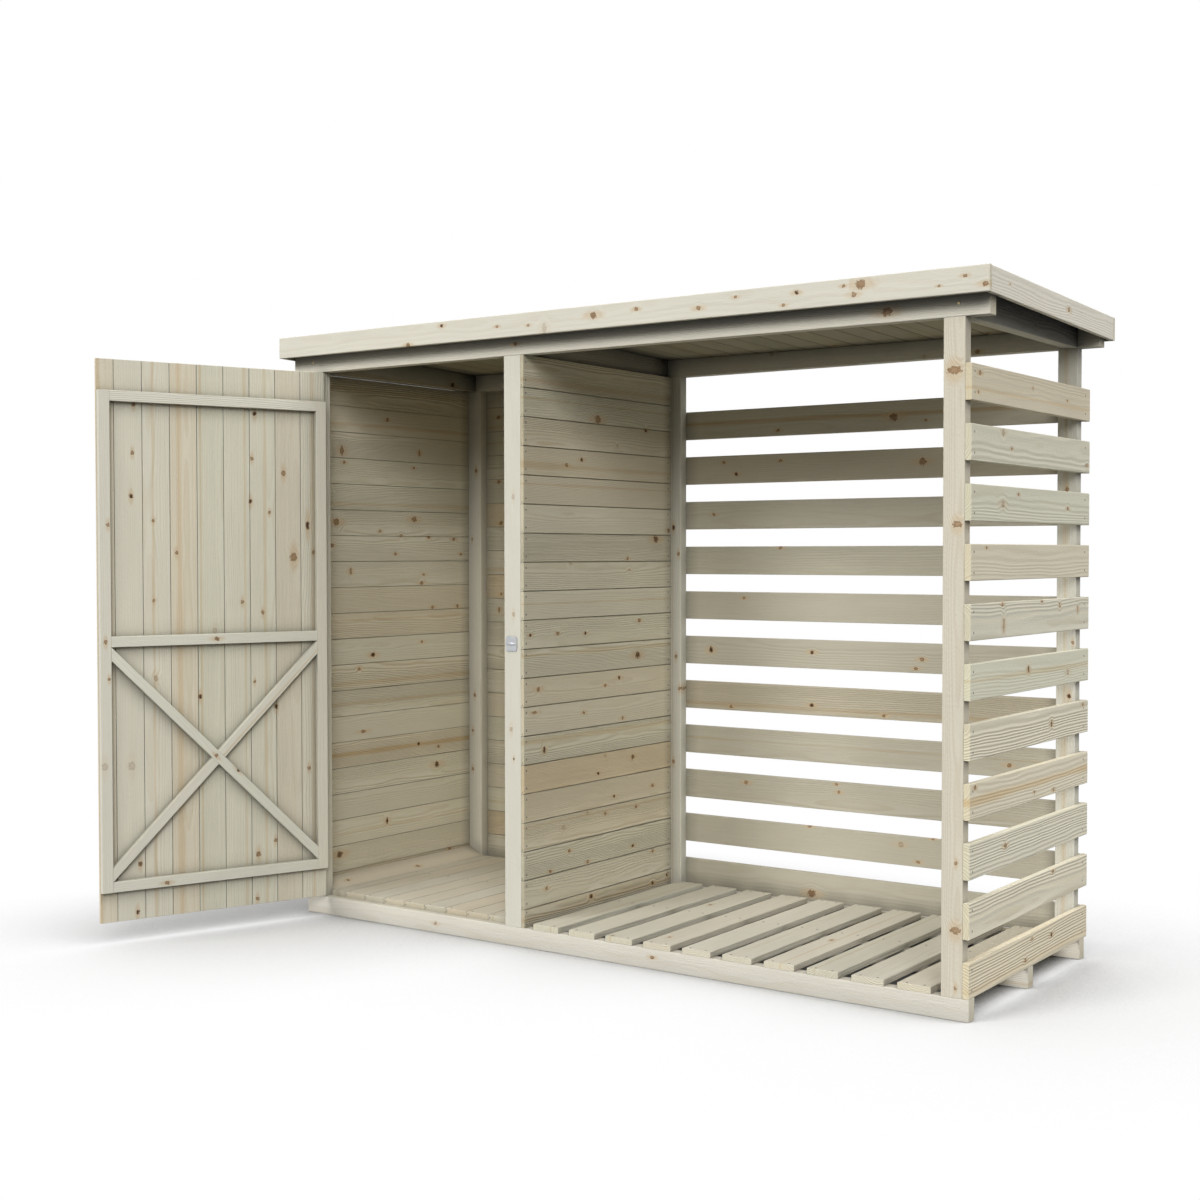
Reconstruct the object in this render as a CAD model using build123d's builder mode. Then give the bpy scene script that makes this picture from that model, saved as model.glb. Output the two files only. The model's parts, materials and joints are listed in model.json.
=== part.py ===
"""Log store with a tool cupboard: an open slatted log bay beside a boarded store with a hinged door."""
from build123d import *
import math
import os

# The origin is at the middle of the base, on the ground. X runs along the front, Y runs to the back.

# Base
BASE_LENGTH = 2375.0
BASE_DEPTH = 865.0
BEARER_HEIGHT = 59.5
BEARER_THICK = 37.0
FLOOR_THICK = 18.0

# Framing
POST_WIDTH = 60.0
POST_DEPTH = 36.0
MIDDLE_POST_WIDTH = 64.0
RAIL_THICK = 38.0
RAIL_OVERHANG = 48.5
RAIL_UNDERSIDE = 1816.5
EASED_EDGE = 1.5

# Slats of the log bay
SLAT_WIDTH = 95.0
SLAT_THICK = 18.0
SLAT_PITCH = 154.3
SLAT_ROWS = 11
SIDE_SLAT_END_LAP = 3.0
FLOOR_SLAT_PITCH = 134.8
FLOOR_SLATS = 10
FLOOR_SLAT_START = 961.0

# Tongued and grooved boards
BOARD_THICK = 12.0
BOARD_PITCH = 89.0
VEE_WIDTH = 5.0
VEE_DEPTH = 2.2
SLIT_WIDTH = 2.0
SLIT_DEPTH = 1.5
WALL_TOP_JOINT = 1718.3
BACK_WALL_TOP_JOINT = 1755.8

# Store: distances from the left end of the base
LEFT_WALL_INSET = 8.0
MIDDLE_POST_START = 851.5
BACK_MIDDLE_POST_START = 907.0
STORE_FLOOR_SETBACK = 25.0
STORE_FLOOR_START = 88.0
STORE_FLOOR_END = 846.0
STORE_FLOOR_PITCH = 88.2
STORE_FLOOR_FIRST_JOINT = 145.7
FILLET_RISE = 30.5
FILLET_GAP = 1.0

# Roof
ROOF_SIDE_OVERHANG = 68.0
ROOF_FRONT_OVERHANG = 53.0
ROOF_BACK_OVERHANG = 36.5
FASCIA_TOP_FRONT = 1934.0
FASCIA_TOP_BACK = 1906.5
FASCIA_HEIGHT = 68.0
FASCIA_THICK = 14.0
DECK_BELOW_FASCIA_TOP = 32.5
DECK_THICK = 18.0
FELT_THICK = 3.0

# Door
DOOR_GAP = 5.0
DOOR_BOTTOM_GAP = 8.0
DOOR_OPEN_ANGLE = 110.0
DOOR_FIRST_JOINT = 85.0
BATTEN_THICK = 18.0
BATTEN_WIDTH = 33.0
STILE_WIDTH = 35.0
TOP_LEDGE_CENTRE = 1698.0
MIDDLE_LEDGE_CENTRE = 939.5
BOTTOM_LEDGE_CENTRE = 179.0
BRACE_END = 42.0

# Tee hinges
HINGE_LEAF = 2.5
HINGE_BARREL_RADIUS = 5.5
HINGE_PIN_RADIUS = 3.0
HINGE_PIN_CLEARANCE = 0.3
HINGE_STANDOFF = 6.2
HINGE_BARREL_LENGTH = 56.0
HINGE_KNUCKLE_GAP = 0.5
HINGE_MIDDLE_KNUCKLE = 20.0
HINGE_FLAP_WIDTH = 38.0
HINGE_FLAP_HEIGHT = 100.0
HINGE_FLAP_CORNER = 6.0
HINGE_FLAP_SETBACK = 4.0
HINGE_STRAP_LENGTH = 300.0
HINGE_STRAP_START = 5.0
HINGE_STRAP_ROOT = 40.0
HINGE_STRAP_TIP = 20.0

# Keeper plate of the latch, its centre from the left end of the base and from the ground
KEEPER_WIDTH = 42.0
KEEPER_HEIGHT = 45.0
KEEPER_THICK = 2.5
KEEPER_CORNER = 8.0
KEEPER_X = 880.5
KEEPER_Z = 933.5

# Planes of the plan, worked out from the dimensions above
LEFT = -BASE_LENGTH / 2
RIGHT = BASE_LENGTH / 2
FRONT = -BASE_DEPTH / 2
BACK = BASE_DEPTH / 2
FLOOR_TOP = BEARER_HEIGHT + FLOOR_THICK
LEFT_POST_X = LEFT + LEFT_WALL_INSET + BOARD_THICK
LEFT_POST_FACE = LEFT_POST_X + POST_WIDTH
MIDDLE_POST_X = LEFT + MIDDLE_POST_START
PARTITION_X = MIDDLE_POST_X + MIDDLE_POST_WIDTH
RIGHT_POST_END = RIGHT - SLAT_THICK
BACK_MIDDLE_POST_X = LEFT + BACK_MIDDLE_POST_START
BACK_POST_Y = BACK - POST_DEPTH
ROOF_LEFT = LEFT - ROOF_SIDE_OVERHANG
ROOF_RIGHT = RIGHT + ROOF_SIDE_OVERHANG
ROOF_FRONT = FRONT - ROOF_FRONT_OVERHANG
ROOF_BACK = BACK + ROOF_BACK_OVERHANG
ROOF_SLOPE = (FASCIA_TOP_FRONT - FASCIA_TOP_BACK) / (ROOF_BACK - ROOF_FRONT)


def fascia_top(y):
    """Height of the fascia's top edge at a depth y: the roof falls evenly to the back."""
    return FASCIA_TOP_FRONT - ROOF_SLOPE * (y - ROOF_FRONT)


def deck_underside(y):
    """Height of the roof boards' underside at a depth y."""
    return fascia_top(y) - DECK_BELOW_FASCIA_TOP


def joint_positions(start, end, joint, pitch):
    """Board joints between start and end, in steps of pitch either way from one known joint."""
    margin = VEE_WIDTH
    first = joint - pitch * math.floor((joint - start - margin) / pitch)
    count = int((end - margin - first) / pitch) + 1
    return [first + pitch * i for i in range(count)]


def matchboard_outline(start, end, thick, joints):
    """Section of jointed boards: vee joints along the face at 0, narrow slits along the face at thick."""
    points = [(start, 0)]
    for joint in joints:
        points += [(joint - VEE_WIDTH / 2, 0), (joint, VEE_DEPTH), (joint + VEE_WIDTH / 2, 0)]
    points += [(end, 0), (end, thick)]
    for joint in reversed(joints):
        half = SLIT_WIDTH / 2
        points += [(joint + half, thick), (joint + half, thick - SLIT_DEPTH)]
        points += [(joint - half, thick - SLIT_DEPTH), (joint - half, thick)]
    points += [(start, thick)]
    return points


def matchboard(plane, start, end, thick, joints, length):
    """A panel of jointed boards whose section lies in plane and whose boards run along its normal."""
    with BuildPart() as panel:
        with BuildSketch(plane):
            with BuildLine():
                Polyline(*matchboard_outline(start, end, thick, joints), close=True)
            make_face()
        extrude(amount=length)
    return panel


def upright(x, y, width, bottom, top):
    """A post with eased long edges, standing between two heights."""
    with BuildPart() as post:
        with BuildSketch(Plane.XY.offset(bottom)):
            with Locations((x + width / 2, y + POST_DEPTH / 2)):
                Rectangle(width, POST_DEPTH)
        extrude(amount=top - bottom)
        chamfer(post.edges().filter_by(Axis.Z), EASED_EDGE)
    return post


def bearer(y):
    """A base bearer on edge along the whole length, its front face at y."""
    with BuildPart() as timber:
        with BuildSketch(Plane.YZ.offset(LEFT)):
            with Locations((y + BEARER_THICK / 2, BEARER_HEIGHT / 2)):
                Rectangle(BEARER_THICK, BEARER_HEIGHT)
        extrude(amount=BASE_LENGTH)
        chamfer(timber.edges().filter_by(Axis.X), EASED_EDGE)
    return timber


def long_rail(y):
    """A roof rail along the length, its top bevelled to the roof's fall, its front face at y."""
    with BuildPart() as timber:
        with BuildSketch(Plane.YZ.offset(LEFT - RAIL_OVERHANG)):
            with BuildLine():
                Polyline((y, RAIL_UNDERSIDE), (y + RAIL_THICK, RAIL_UNDERSIDE),
                         (y + RAIL_THICK, deck_underside(y + RAIL_THICK)), (y, deck_underside(y)), close=True)
            make_face()
        extrude(amount=BASE_LENGTH + 2 * RAIL_OVERHANG)
        chamfer(timber.edges().filter_by(Axis.X).group_by(Axis.Z)[0], EASED_EDGE)
    return timber


def side_rail(x):
    """A tapered rail from the front rail to the back rail, its left face at x."""
    front = FRONT + RAIL_THICK
    back = BACK_POST_Y
    with BuildPart() as timber:
        with BuildSketch(Plane.YZ.offset(x)):
            with BuildLine():
                Polyline((front, RAIL_UNDERSIDE), (back, RAIL_UNDERSIDE),
                         (back, deck_underside(back)), (front, deck_underside(front)), close=True)
            make_face()
        extrude(amount=RAIL_THICK)
    return timber


# Base: three bearers, close floor boards in the store and spaced ones in the log bay
front_bearer = bearer(FRONT)
middle_bearer = bearer(-BEARER_THICK / 2)
back_bearer = bearer(BACK - BEARER_THICK)

store_floor_joints = joint_positions(LEFT + STORE_FLOOR_START, LEFT + STORE_FLOOR_END,
                                     LEFT + STORE_FLOOR_FIRST_JOINT, STORE_FLOOR_PITCH)
store_floor_boards = matchboard(
    Plane(origin=(0, FRONT + STORE_FLOOR_SETBACK, FLOOR_TOP), x_dir=(1, 0, 0), z_dir=(0, 1, 0)),
    LEFT + STORE_FLOOR_START, LEFT + STORE_FLOOR_END, FLOOR_THICK, store_floor_joints,
    BACK_POST_Y - FRONT - STORE_FLOOR_SETBACK)

# One more floor board leans up against the left wall, between the posts, its edges cut plumb
fillet_foot = LEFT + STORE_FLOOR_START - FILLET_GAP
with BuildPart() as tool_store_floor:
    add(store_floor_boards)
    with BuildSketch(Plane.XZ.offset(-FRONT - POST_DEPTH)):
        with BuildLine():
            Polyline((fillet_foot, BEARER_HEIGHT), (fillet_foot, FLOOR_TOP),
                     (LEFT_POST_X, FLOOR_TOP + FILLET_RISE), (LEFT_POST_X, BEARER_HEIGHT + FILLET_RISE),
                     close=True)
        make_face()
    extrude(amount=-(BACK_POST_Y - FRONT - POST_DEPTH))

with BuildPart() as log_store_floor:
    with BuildSketch(Plane.XZ.offset(-FRONT)) as floor_section:
        first = LEFT + FLOOR_SLAT_START + SLAT_WIDTH / 2
        with Locations(*[(first + FLOOR_SLAT_PITCH * i, BEARER_HEIGHT + FLOOR_THICK / 2)
                         for i in range(FLOOR_SLATS)]):
            Rectangle(SLAT_WIDTH, FLOOR_THICK)
        chamfer(floor_section.vertices(), EASED_EDGE)
    extrude(amount=-(BACK_POST_Y - FRONT))

# Posts on the bearers
front_left_post = upright(LEFT_POST_X, FRONT, POST_WIDTH, BEARER_HEIGHT, RAIL_UNDERSIDE)
front_middle_post = upright(MIDDLE_POST_X, FRONT, MIDDLE_POST_WIDTH, BEARER_HEIGHT, RAIL_UNDERSIDE)
front_right_post = upright(RIGHT_POST_END - POST_WIDTH, FRONT, POST_WIDTH, BEARER_HEIGHT, RAIL_UNDERSIDE)
back_left_post = upright(LEFT_POST_X, BACK_POST_Y, POST_WIDTH, BEARER_HEIGHT, RAIL_UNDERSIDE)
back_middle_post = upright(BACK_MIDDLE_POST_X, BACK_POST_Y, POST_WIDTH, BEARER_HEIGHT, RAIL_UNDERSIDE)
back_right_post = upright(RIGHT_POST_END - POST_WIDTH, BACK_POST_Y, POST_WIDTH, BEARER_HEIGHT,
                          RAIL_UNDERSIDE)

# Rails that carry the roof
front_rail = long_rail(FRONT)
back_rail = long_rail(BACK_POST_Y)
left_side_rail = side_rail(LEFT_POST_X)
middle_side_rail = side_rail(PARTITION_X - RAIL_THICK)
right_side_rail = side_rail(RIGHT_POST_END - RAIL_THICK)

# Boarded walls of the store: the section runs up the wall, the boards run along it
wall_bottom = BEARER_HEIGHT
wall_top = RAIL_UNDERSIDE
wall_joints = joint_positions(wall_bottom, wall_top, WALL_TOP_JOINT, BOARD_PITCH)
back_wall_joints = joint_positions(wall_bottom, wall_top, BACK_WALL_TOP_JOINT, BOARD_PITCH)
left_wall_boards = matchboard(
    Plane(origin=(LEFT + LEFT_WALL_INSET, FRONT, 0), x_dir=(0, 0, 1), z_dir=(0, 1, 0)),
    wall_bottom, wall_top, BOARD_THICK, wall_joints, BASE_DEPTH + BOARD_THICK)
partition_boards = matchboard(
    Plane(origin=(PARTITION_X + BOARD_THICK, BACK_POST_Y, 0), x_dir=(0, 0, 1), z_dir=(0, -1, 0)),
    wall_bottom, wall_top, BOARD_THICK, wall_joints, BACK_POST_Y - FRONT)
back_wall_end = BACK_MIDDLE_POST_X + POST_WIDTH / 2
back_wall_boards = matchboard(
    Plane(origin=(LEFT_POST_X, BACK + BOARD_THICK, 0), x_dir=(0, 0, 1), z_dir=(1, 0, 0)),
    wall_bottom, wall_top, BOARD_THICK, back_wall_joints, back_wall_end - LEFT_POST_X)

# Spaced slats on the open side and the back of the log bay
slat_heights = [BEARER_HEIGHT + SLAT_WIDTH / 2 + SLAT_PITCH * i for i in range(SLAT_ROWS)]
with BuildPart() as side_slats:
    with BuildSketch(Plane.XZ.offset(-FRONT)) as side_slat_section:
        with Locations(*[(RIGHT - SLAT_THICK / 2, z) for z in slat_heights]):
            Rectangle(SLAT_THICK, SLAT_WIDTH)
        chamfer(side_slat_section.vertices(), EASED_EDGE)
    extrude(amount=-(BASE_DEPTH + SLAT_THICK + SIDE_SLAT_END_LAP))

with BuildPart() as back_slats:
    with BuildSketch(Plane.YZ.offset(back_wall_end + DOOR_GAP)) as back_slat_section:
        with Locations(*[(BACK + SLAT_THICK / 2, z) for z in slat_heights]):
            Rectangle(SLAT_THICK, SLAT_WIDTH)
        chamfer(back_slat_section.vertices(), EASED_EDGE)
    extrude(amount=RIGHT_POST_END - back_wall_end - DOOR_GAP)

# Roof: boards along the fall, felt over them and a fascia all round
deck_left = ROOF_LEFT + FASCIA_THICK
deck_right = ROOF_RIGHT - FASCIA_THICK
deck_front = ROOF_FRONT + FASCIA_THICK
deck_back = ROOF_BACK - FASCIA_THICK
roof_fall = Vector(0, 1, -ROOF_SLOPE).normalized()
slope_stretch = math.hypot(1, ROOF_SLOPE)
deck_start = deck_back - DECK_THICK * ROOF_SLOPE
deck_run = (deck_start - deck_front) * slope_stretch
deck_joints = joint_positions(deck_left, deck_right, 0, BOARD_PITCH)
roof_deck = matchboard(
    Plane(origin=(0, deck_start, deck_underside(deck_start)), x_dir=(1, 0, 0), z_dir=-roof_fall),
    deck_left, deck_right, DECK_THICK, deck_joints, deck_run)

with BuildPart() as roof_felt:
    with BuildSketch(Plane.YZ.offset(deck_left)):
        lift = DECK_THICK * slope_stretch
        with BuildLine():
            Polyline((deck_front, deck_underside(deck_front) + lift),
                     (deck_back, deck_underside(deck_back) + lift),
                     (deck_back, deck_underside(deck_back) + lift + FELT_THICK),
                     (deck_front, deck_underside(deck_front) + lift + FELT_THICK), close=True)
        make_face()
    extrude(amount=deck_right - deck_left)


def cross_fascia(y, top):
    """A fascia along the length, its front face at y."""
    with BuildPart() as fascia:
        with BuildSketch(Plane.YZ.offset(ROOF_LEFT)):
            with Locations((y + FASCIA_THICK / 2, top - FASCIA_HEIGHT / 2)):
                Rectangle(FASCIA_THICK, FASCIA_HEIGHT)
        extrude(amount=ROOF_RIGHT - ROOF_LEFT)
        chamfer(fascia.edges().filter_by(Axis.X), EASED_EDGE)
    return fascia


def side_fascia(x):
    """A fascia down the roof's fall between the front and back ones, its left face at x."""
    with BuildPart() as fascia:
        with BuildSketch(Plane.YZ.offset(x)):
            with BuildLine():
                Polyline((deck_front, fascia_top(deck_front)), (deck_back, fascia_top(deck_back)),
                         (deck_back, fascia_top(deck_back) - FASCIA_HEIGHT),
                         (deck_front, fascia_top(deck_front) - FASCIA_HEIGHT), close=True)
            make_face()
        extrude(amount=FASCIA_THICK)
    return fascia


front_fascia = cross_fascia(ROOF_FRONT, FASCIA_TOP_FRONT)
back_fascia = cross_fascia(deck_back, FASCIA_TOP_BACK)
left_fascia = side_fascia(ROOF_LEFT)
right_fascia = side_fascia(deck_right)

# Door plane at the open angle: x from the hinge edge along the door, y up, z out of its outer face
angle = math.radians(DOOR_OPEN_ANGLE)
along = Vector(math.cos(angle), -math.sin(angle), 0)
inward = Vector(math.sin(angle), math.cos(angle), 0)
hinge_axis = Vector(LEFT_POST_FACE + DOOR_GAP / 2, FRONT - HINGE_STANDOFF, 0)
hinge_edge = hinge_axis + along * (DOOR_GAP / 2) + inward * HINGE_STANDOFF
DOOR = Plane(origin=hinge_edge, x_dir=along, z_dir=-inward)
door_width = MIDDLE_POST_X - LEFT_POST_FACE - 2 * DOOR_GAP
door_bottom = BEARER_HEIGHT + DOOR_BOTTOM_GAP
door_top = RAIL_UNDERSIDE - DOOR_GAP
batten_plane = DOOR.offset(-BOARD_THICK)

door_joints = joint_positions(0, door_width, DOOR_FIRST_JOINT, BOARD_PITCH)
door_section = Plane(origin=hinge_edge + Vector(0, 0, door_bottom), x_dir=along, z_dir=(0, 0, 1))
door_boards = matchboard(door_section, 0, door_width, BOARD_THICK, door_joints, door_top - door_bottom)


def batten(x_from, x_to, z_from, z_to):
    """A flat batten on the inner face of the door's boards."""
    with BuildPart() as piece:
        with BuildSketch(batten_plane):
            with Locations(((x_from + x_to) / 2, (z_from + z_to) / 2)):
                Rectangle(x_to - x_from, z_to - z_from)
        extrude(amount=-BATTEN_THICK)
        chamfer(piece.faces().filter_by(batten_plane).sort_by(DOOR_DEPTH)[-1].edges(), EASED_EDGE)
    return piece


DOOR_DEPTH = Axis(tuple(hinge_edge), tuple(inward))
frame_bottom = BOTTOM_LEDGE_CENTRE - BATTEN_WIDTH / 2
frame_top = TOP_LEDGE_CENTRE + BATTEN_WIDTH / 2
ledge_from = STILE_WIDTH
ledge_to = door_width - STILE_WIDTH
door_hinge_stile = batten(0, STILE_WIDTH, frame_bottom, frame_top)
door_closing_stile = batten(ledge_to, door_width, frame_bottom, frame_top)
door_top_ledge = batten(ledge_from, ledge_to, frame_top - BATTEN_WIDTH, frame_top)
door_middle_ledge = batten(ledge_from, ledge_to, MIDDLE_LEDGE_CENTRE - BATTEN_WIDTH / 2,
                           MIDDLE_LEDGE_CENTRE + BATTEN_WIDTH / 2)
door_bottom_ledge = batten(ledge_from, ledge_to, frame_bottom, frame_bottom + BATTEN_WIDTH)

# The two braces cross between the bottom and middle ledges: one runs through, the other is cut in two
brace_low = frame_bottom + BATTEN_WIDTH
brace_high = MIDDLE_LEDGE_CENTRE - BATTEN_WIDTH / 2
brace_through = [(ledge_to, brace_high), (ledge_from, brace_low + BRACE_END), (ledge_from, brace_low),
                 (ledge_to, brace_high - BRACE_END)]
brace_crossing = [(ledge_from, brace_high), (ledge_to, brace_low + BRACE_END), (ledge_to, brace_low),
                  (ledge_from, brace_high - BRACE_END)]
with BuildPart() as door_long_brace:
    with BuildSketch(batten_plane):
        with BuildLine():
            Polyline(*brace_through, close=True)
        make_face()
    extrude(amount=-BATTEN_THICK)

with BuildPart() as door_short_braces:
    with BuildSketch(batten_plane):
        with BuildLine():
            Polyline(*brace_crossing, close=True)
        make_face()
        with BuildLine():
            Polyline(*brace_through, close=True)
        make_face(mode=Mode.SUBTRACT)
    extrude(amount=-BATTEN_THICK)


def hinge_flap(centre):
    """The fixed part of a tee hinge: an upright flap on the post with two knuckles and the pin."""
    knuckle = (HINGE_BARREL_LENGTH - HINGE_MIDDLE_KNUCKLE) / 2 - HINGE_KNUCKLE_GAP
    barrel_bottom = centre - HINGE_BARREL_LENGTH / 2
    flap_edge = LEFT_POST_FACE - HINGE_FLAP_SETBACK
    link = hinge_axis.X - flap_edge + HINGE_FLAP_CORNER
    with BuildPart() as flap:
        with BuildSketch(Plane.XZ.offset(-FRONT)):
            with Locations((flap_edge - HINGE_FLAP_WIDTH / 2, centre)):
                RectangleRounded(HINGE_FLAP_WIDTH, HINGE_FLAP_HEIGHT, HINGE_FLAP_CORNER)
        extrude(amount=HINGE_LEAF)
        for bottom in (barrel_bottom, barrel_bottom + HINGE_BARREL_LENGTH - knuckle):
            with BuildSketch(Plane.XZ.offset(-FRONT)):
                with Locations((hinge_axis.X - link / 2, bottom + knuckle / 2)):
                    Rectangle(link, knuckle)
            extrude(amount=HINGE_LEAF)
            with BuildSketch(Plane(origin=hinge_axis).offset(bottom)):
                Circle(HINGE_BARREL_RADIUS)
            extrude(amount=knuckle)
        with BuildSketch(Plane(origin=hinge_axis).offset(barrel_bottom)):
            Circle(HINGE_PIN_RADIUS)
        extrude(amount=HINGE_BARREL_LENGTH)
    return flap


def hinge_strap(centre):
    """The moving part of a tee hinge: a tapered strap on the door with the middle knuckle."""
    with BuildPart() as strap:
        with BuildSketch(DOOR):
            with BuildLine():
                Polyline((HINGE_STRAP_START, centre - HINGE_STRAP_ROOT / 2),
                         (HINGE_STRAP_START, centre + HINGE_STRAP_ROOT / 2),
                         (HINGE_STRAP_LENGTH, centre + HINGE_STRAP_TIP / 2),
                         (HINGE_STRAP_LENGTH, centre - HINGE_STRAP_TIP / 2), close=True)
            make_face()
            with Locations((HINGE_STRAP_LENGTH, centre)):
                Circle(HINGE_STRAP_TIP / 2)
        extrude(amount=HINGE_LEAF)
        with BuildSketch(DOOR):
            with Locations(((HINGE_STRAP_START - DOOR_GAP / 2) / 2, centre)):
                Rectangle(HINGE_STRAP_START + DOOR_GAP / 2, HINGE_MIDDLE_KNUCKLE)
        extrude(amount=HINGE_LEAF)
        with BuildSketch(Plane(origin=hinge_axis).offset(centre - HINGE_MIDDLE_KNUCKLE / 2)):
            Circle(HINGE_BARREL_RADIUS)
        extrude(amount=HINGE_MIDDLE_KNUCKLE)
        with BuildSketch(Plane(origin=hinge_axis).offset(centre - HINGE_MIDDLE_KNUCKLE)):
            Circle(HINGE_PIN_RADIUS + HINGE_PIN_CLEARANCE)
        extrude(amount=2 * HINGE_MIDDLE_KNUCKLE, mode=Mode.SUBTRACT)
    return strap


upper_hinge_flap = hinge_flap(TOP_LEDGE_CENTRE)
lower_hinge_flap = hinge_flap(BOTTOM_LEDGE_CENTRE)
upper_hinge_strap = hinge_strap(TOP_LEDGE_CENTRE)
lower_hinge_strap = hinge_strap(BOTTOM_LEDGE_CENTRE)

# Keeper plate of the latch on the middle post
with BuildPart() as latch_keeper:
    with BuildSketch(Plane.XZ.offset(-FRONT)):
        with Locations((LEFT + KEEPER_X, KEEPER_Z)):
            RectangleRounded(KEEPER_WIDTH, KEEPER_HEIGHT, KEEPER_CORNER)
    extrude(amount=KEEPER_THICK)

pieces = {
    "front_bearer": front_bearer,
    "middle_bearer": middle_bearer,
    "back_bearer": back_bearer,
    "tool_store_floor": tool_store_floor,
    "log_store_floor": log_store_floor,
    "front_left_post": front_left_post,
    "front_middle_post": front_middle_post,
    "front_right_post": front_right_post,
    "back_left_post": back_left_post,
    "back_middle_post": back_middle_post,
    "back_right_post": back_right_post,
    "front_rail": front_rail,
    "back_rail": back_rail,
    "left_side_rail": left_side_rail,
    "middle_side_rail": middle_side_rail,
    "right_side_rail": right_side_rail,
    "left_wall_boards": left_wall_boards,
    "partition_boards": partition_boards,
    "back_wall_boards": back_wall_boards,
    "side_slats": side_slats,
    "back_slats": back_slats,
    "roof_deck": roof_deck,
    "roof_felt": roof_felt,
    "front_fascia": front_fascia,
    "back_fascia": back_fascia,
    "left_fascia": left_fascia,
    "right_fascia": right_fascia,
    "upper_hinge_flap": upper_hinge_flap,
    "lower_hinge_flap": lower_hinge_flap,
    "latch_keeper": latch_keeper,
    "door_boards": door_boards,
    "door_hinge_stile": door_hinge_stile,
    "door_closing_stile": door_closing_stile,
    "door_top_ledge": door_top_ledge,
    "door_middle_ledge": door_middle_ledge,
    "door_bottom_ledge": door_bottom_ledge,
    "door_long_brace": door_long_brace,
    "door_short_braces": door_short_braces,
    "upper_hinge_strap": upper_hinge_strap,
    "lower_hinge_strap": lower_hinge_strap,
}

os.makedirs("parts", exist_ok=True)
for name, piece in pieces.items():
    piece.part.label = name
    export_step(piece.part, f"parts/{name}.step")
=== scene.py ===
"""Looks of a timber log store with a tool cupboard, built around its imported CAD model.

Every board is a straight timber lofted between two end outlines. Its grain is a solid pattern: the boards
carry their own place in the log they were sawn from, so faces, edges and cut ends agree.
"""
import json
import math
import zlib
from collections import namedtuple

import bpy
import numpy as np
from bpy.props import FloatProperty, FloatVectorProperty, IntProperty, PointerProperty
from bpy.types import Operator, Panel, PropertyGroup
from mathutils import Matrix, Vector


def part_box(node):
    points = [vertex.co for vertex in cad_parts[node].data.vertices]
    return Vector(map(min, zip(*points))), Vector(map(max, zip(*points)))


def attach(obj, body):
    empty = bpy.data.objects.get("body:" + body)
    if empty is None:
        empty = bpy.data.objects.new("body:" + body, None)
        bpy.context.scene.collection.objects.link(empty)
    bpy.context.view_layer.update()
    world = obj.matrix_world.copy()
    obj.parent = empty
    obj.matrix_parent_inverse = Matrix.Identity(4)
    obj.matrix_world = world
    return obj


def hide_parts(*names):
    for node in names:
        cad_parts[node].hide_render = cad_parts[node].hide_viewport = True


bl_info = {
    "name": "Log Store Looks",
    "version": (1, 0, 0),
    "blender": (4, 5, 0),
    "location": "View3D > Sidebar > Log Store",
    "description": "Builds the timber, fixings, roof covering and stage of a log store around its CAD frame",
    "category": "Object",
}

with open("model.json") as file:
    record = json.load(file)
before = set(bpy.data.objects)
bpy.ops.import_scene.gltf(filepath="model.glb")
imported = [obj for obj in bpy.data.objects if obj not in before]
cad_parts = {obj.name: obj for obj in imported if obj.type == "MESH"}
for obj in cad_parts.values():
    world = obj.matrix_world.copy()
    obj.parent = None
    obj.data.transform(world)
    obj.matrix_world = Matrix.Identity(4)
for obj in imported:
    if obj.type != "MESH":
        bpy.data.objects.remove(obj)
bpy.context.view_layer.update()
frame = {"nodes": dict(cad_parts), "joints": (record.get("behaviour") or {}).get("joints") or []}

X_AXIS, Y_AXIS, Z_AXIS = np.eye(3)
HINGE = np.array(frame["joints"][0]["pos_m"])

MILLIMETRE = 0.001
PHOTO_WIDTH = 1200
SENSOR_WIDTH = 36.0
# How finely a knot's place is read off the photograph, across the store and elsewhere
READ_LEVEL = 0.010
READ_FINE = 0.005
# How far past a board's edge and past its face a knot's middle still counts as in it
KNOT_BESIDE = 0.002
KNOT_ABOVE = 0.006
# Space kept from a board's end to a place where its mesh is cut
END_SPACE = 0.004
# Play between a tongue and its groove
TONGUE_PLAY = 0.0002
BATTEN_EASE = 0.0015


def colour_property(name, description, default):
    """A colour in linear light, with one description for the panel."""
    return FloatVectorProperty(name=name, description=description, default=default, subtype="COLOR",
                               min=0.0, max=1.0)


def length_property(name, description, default):
    """A length in metres."""
    return FloatProperty(name=name, description=description, default=default, unit="LENGTH", precision=4)


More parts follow.
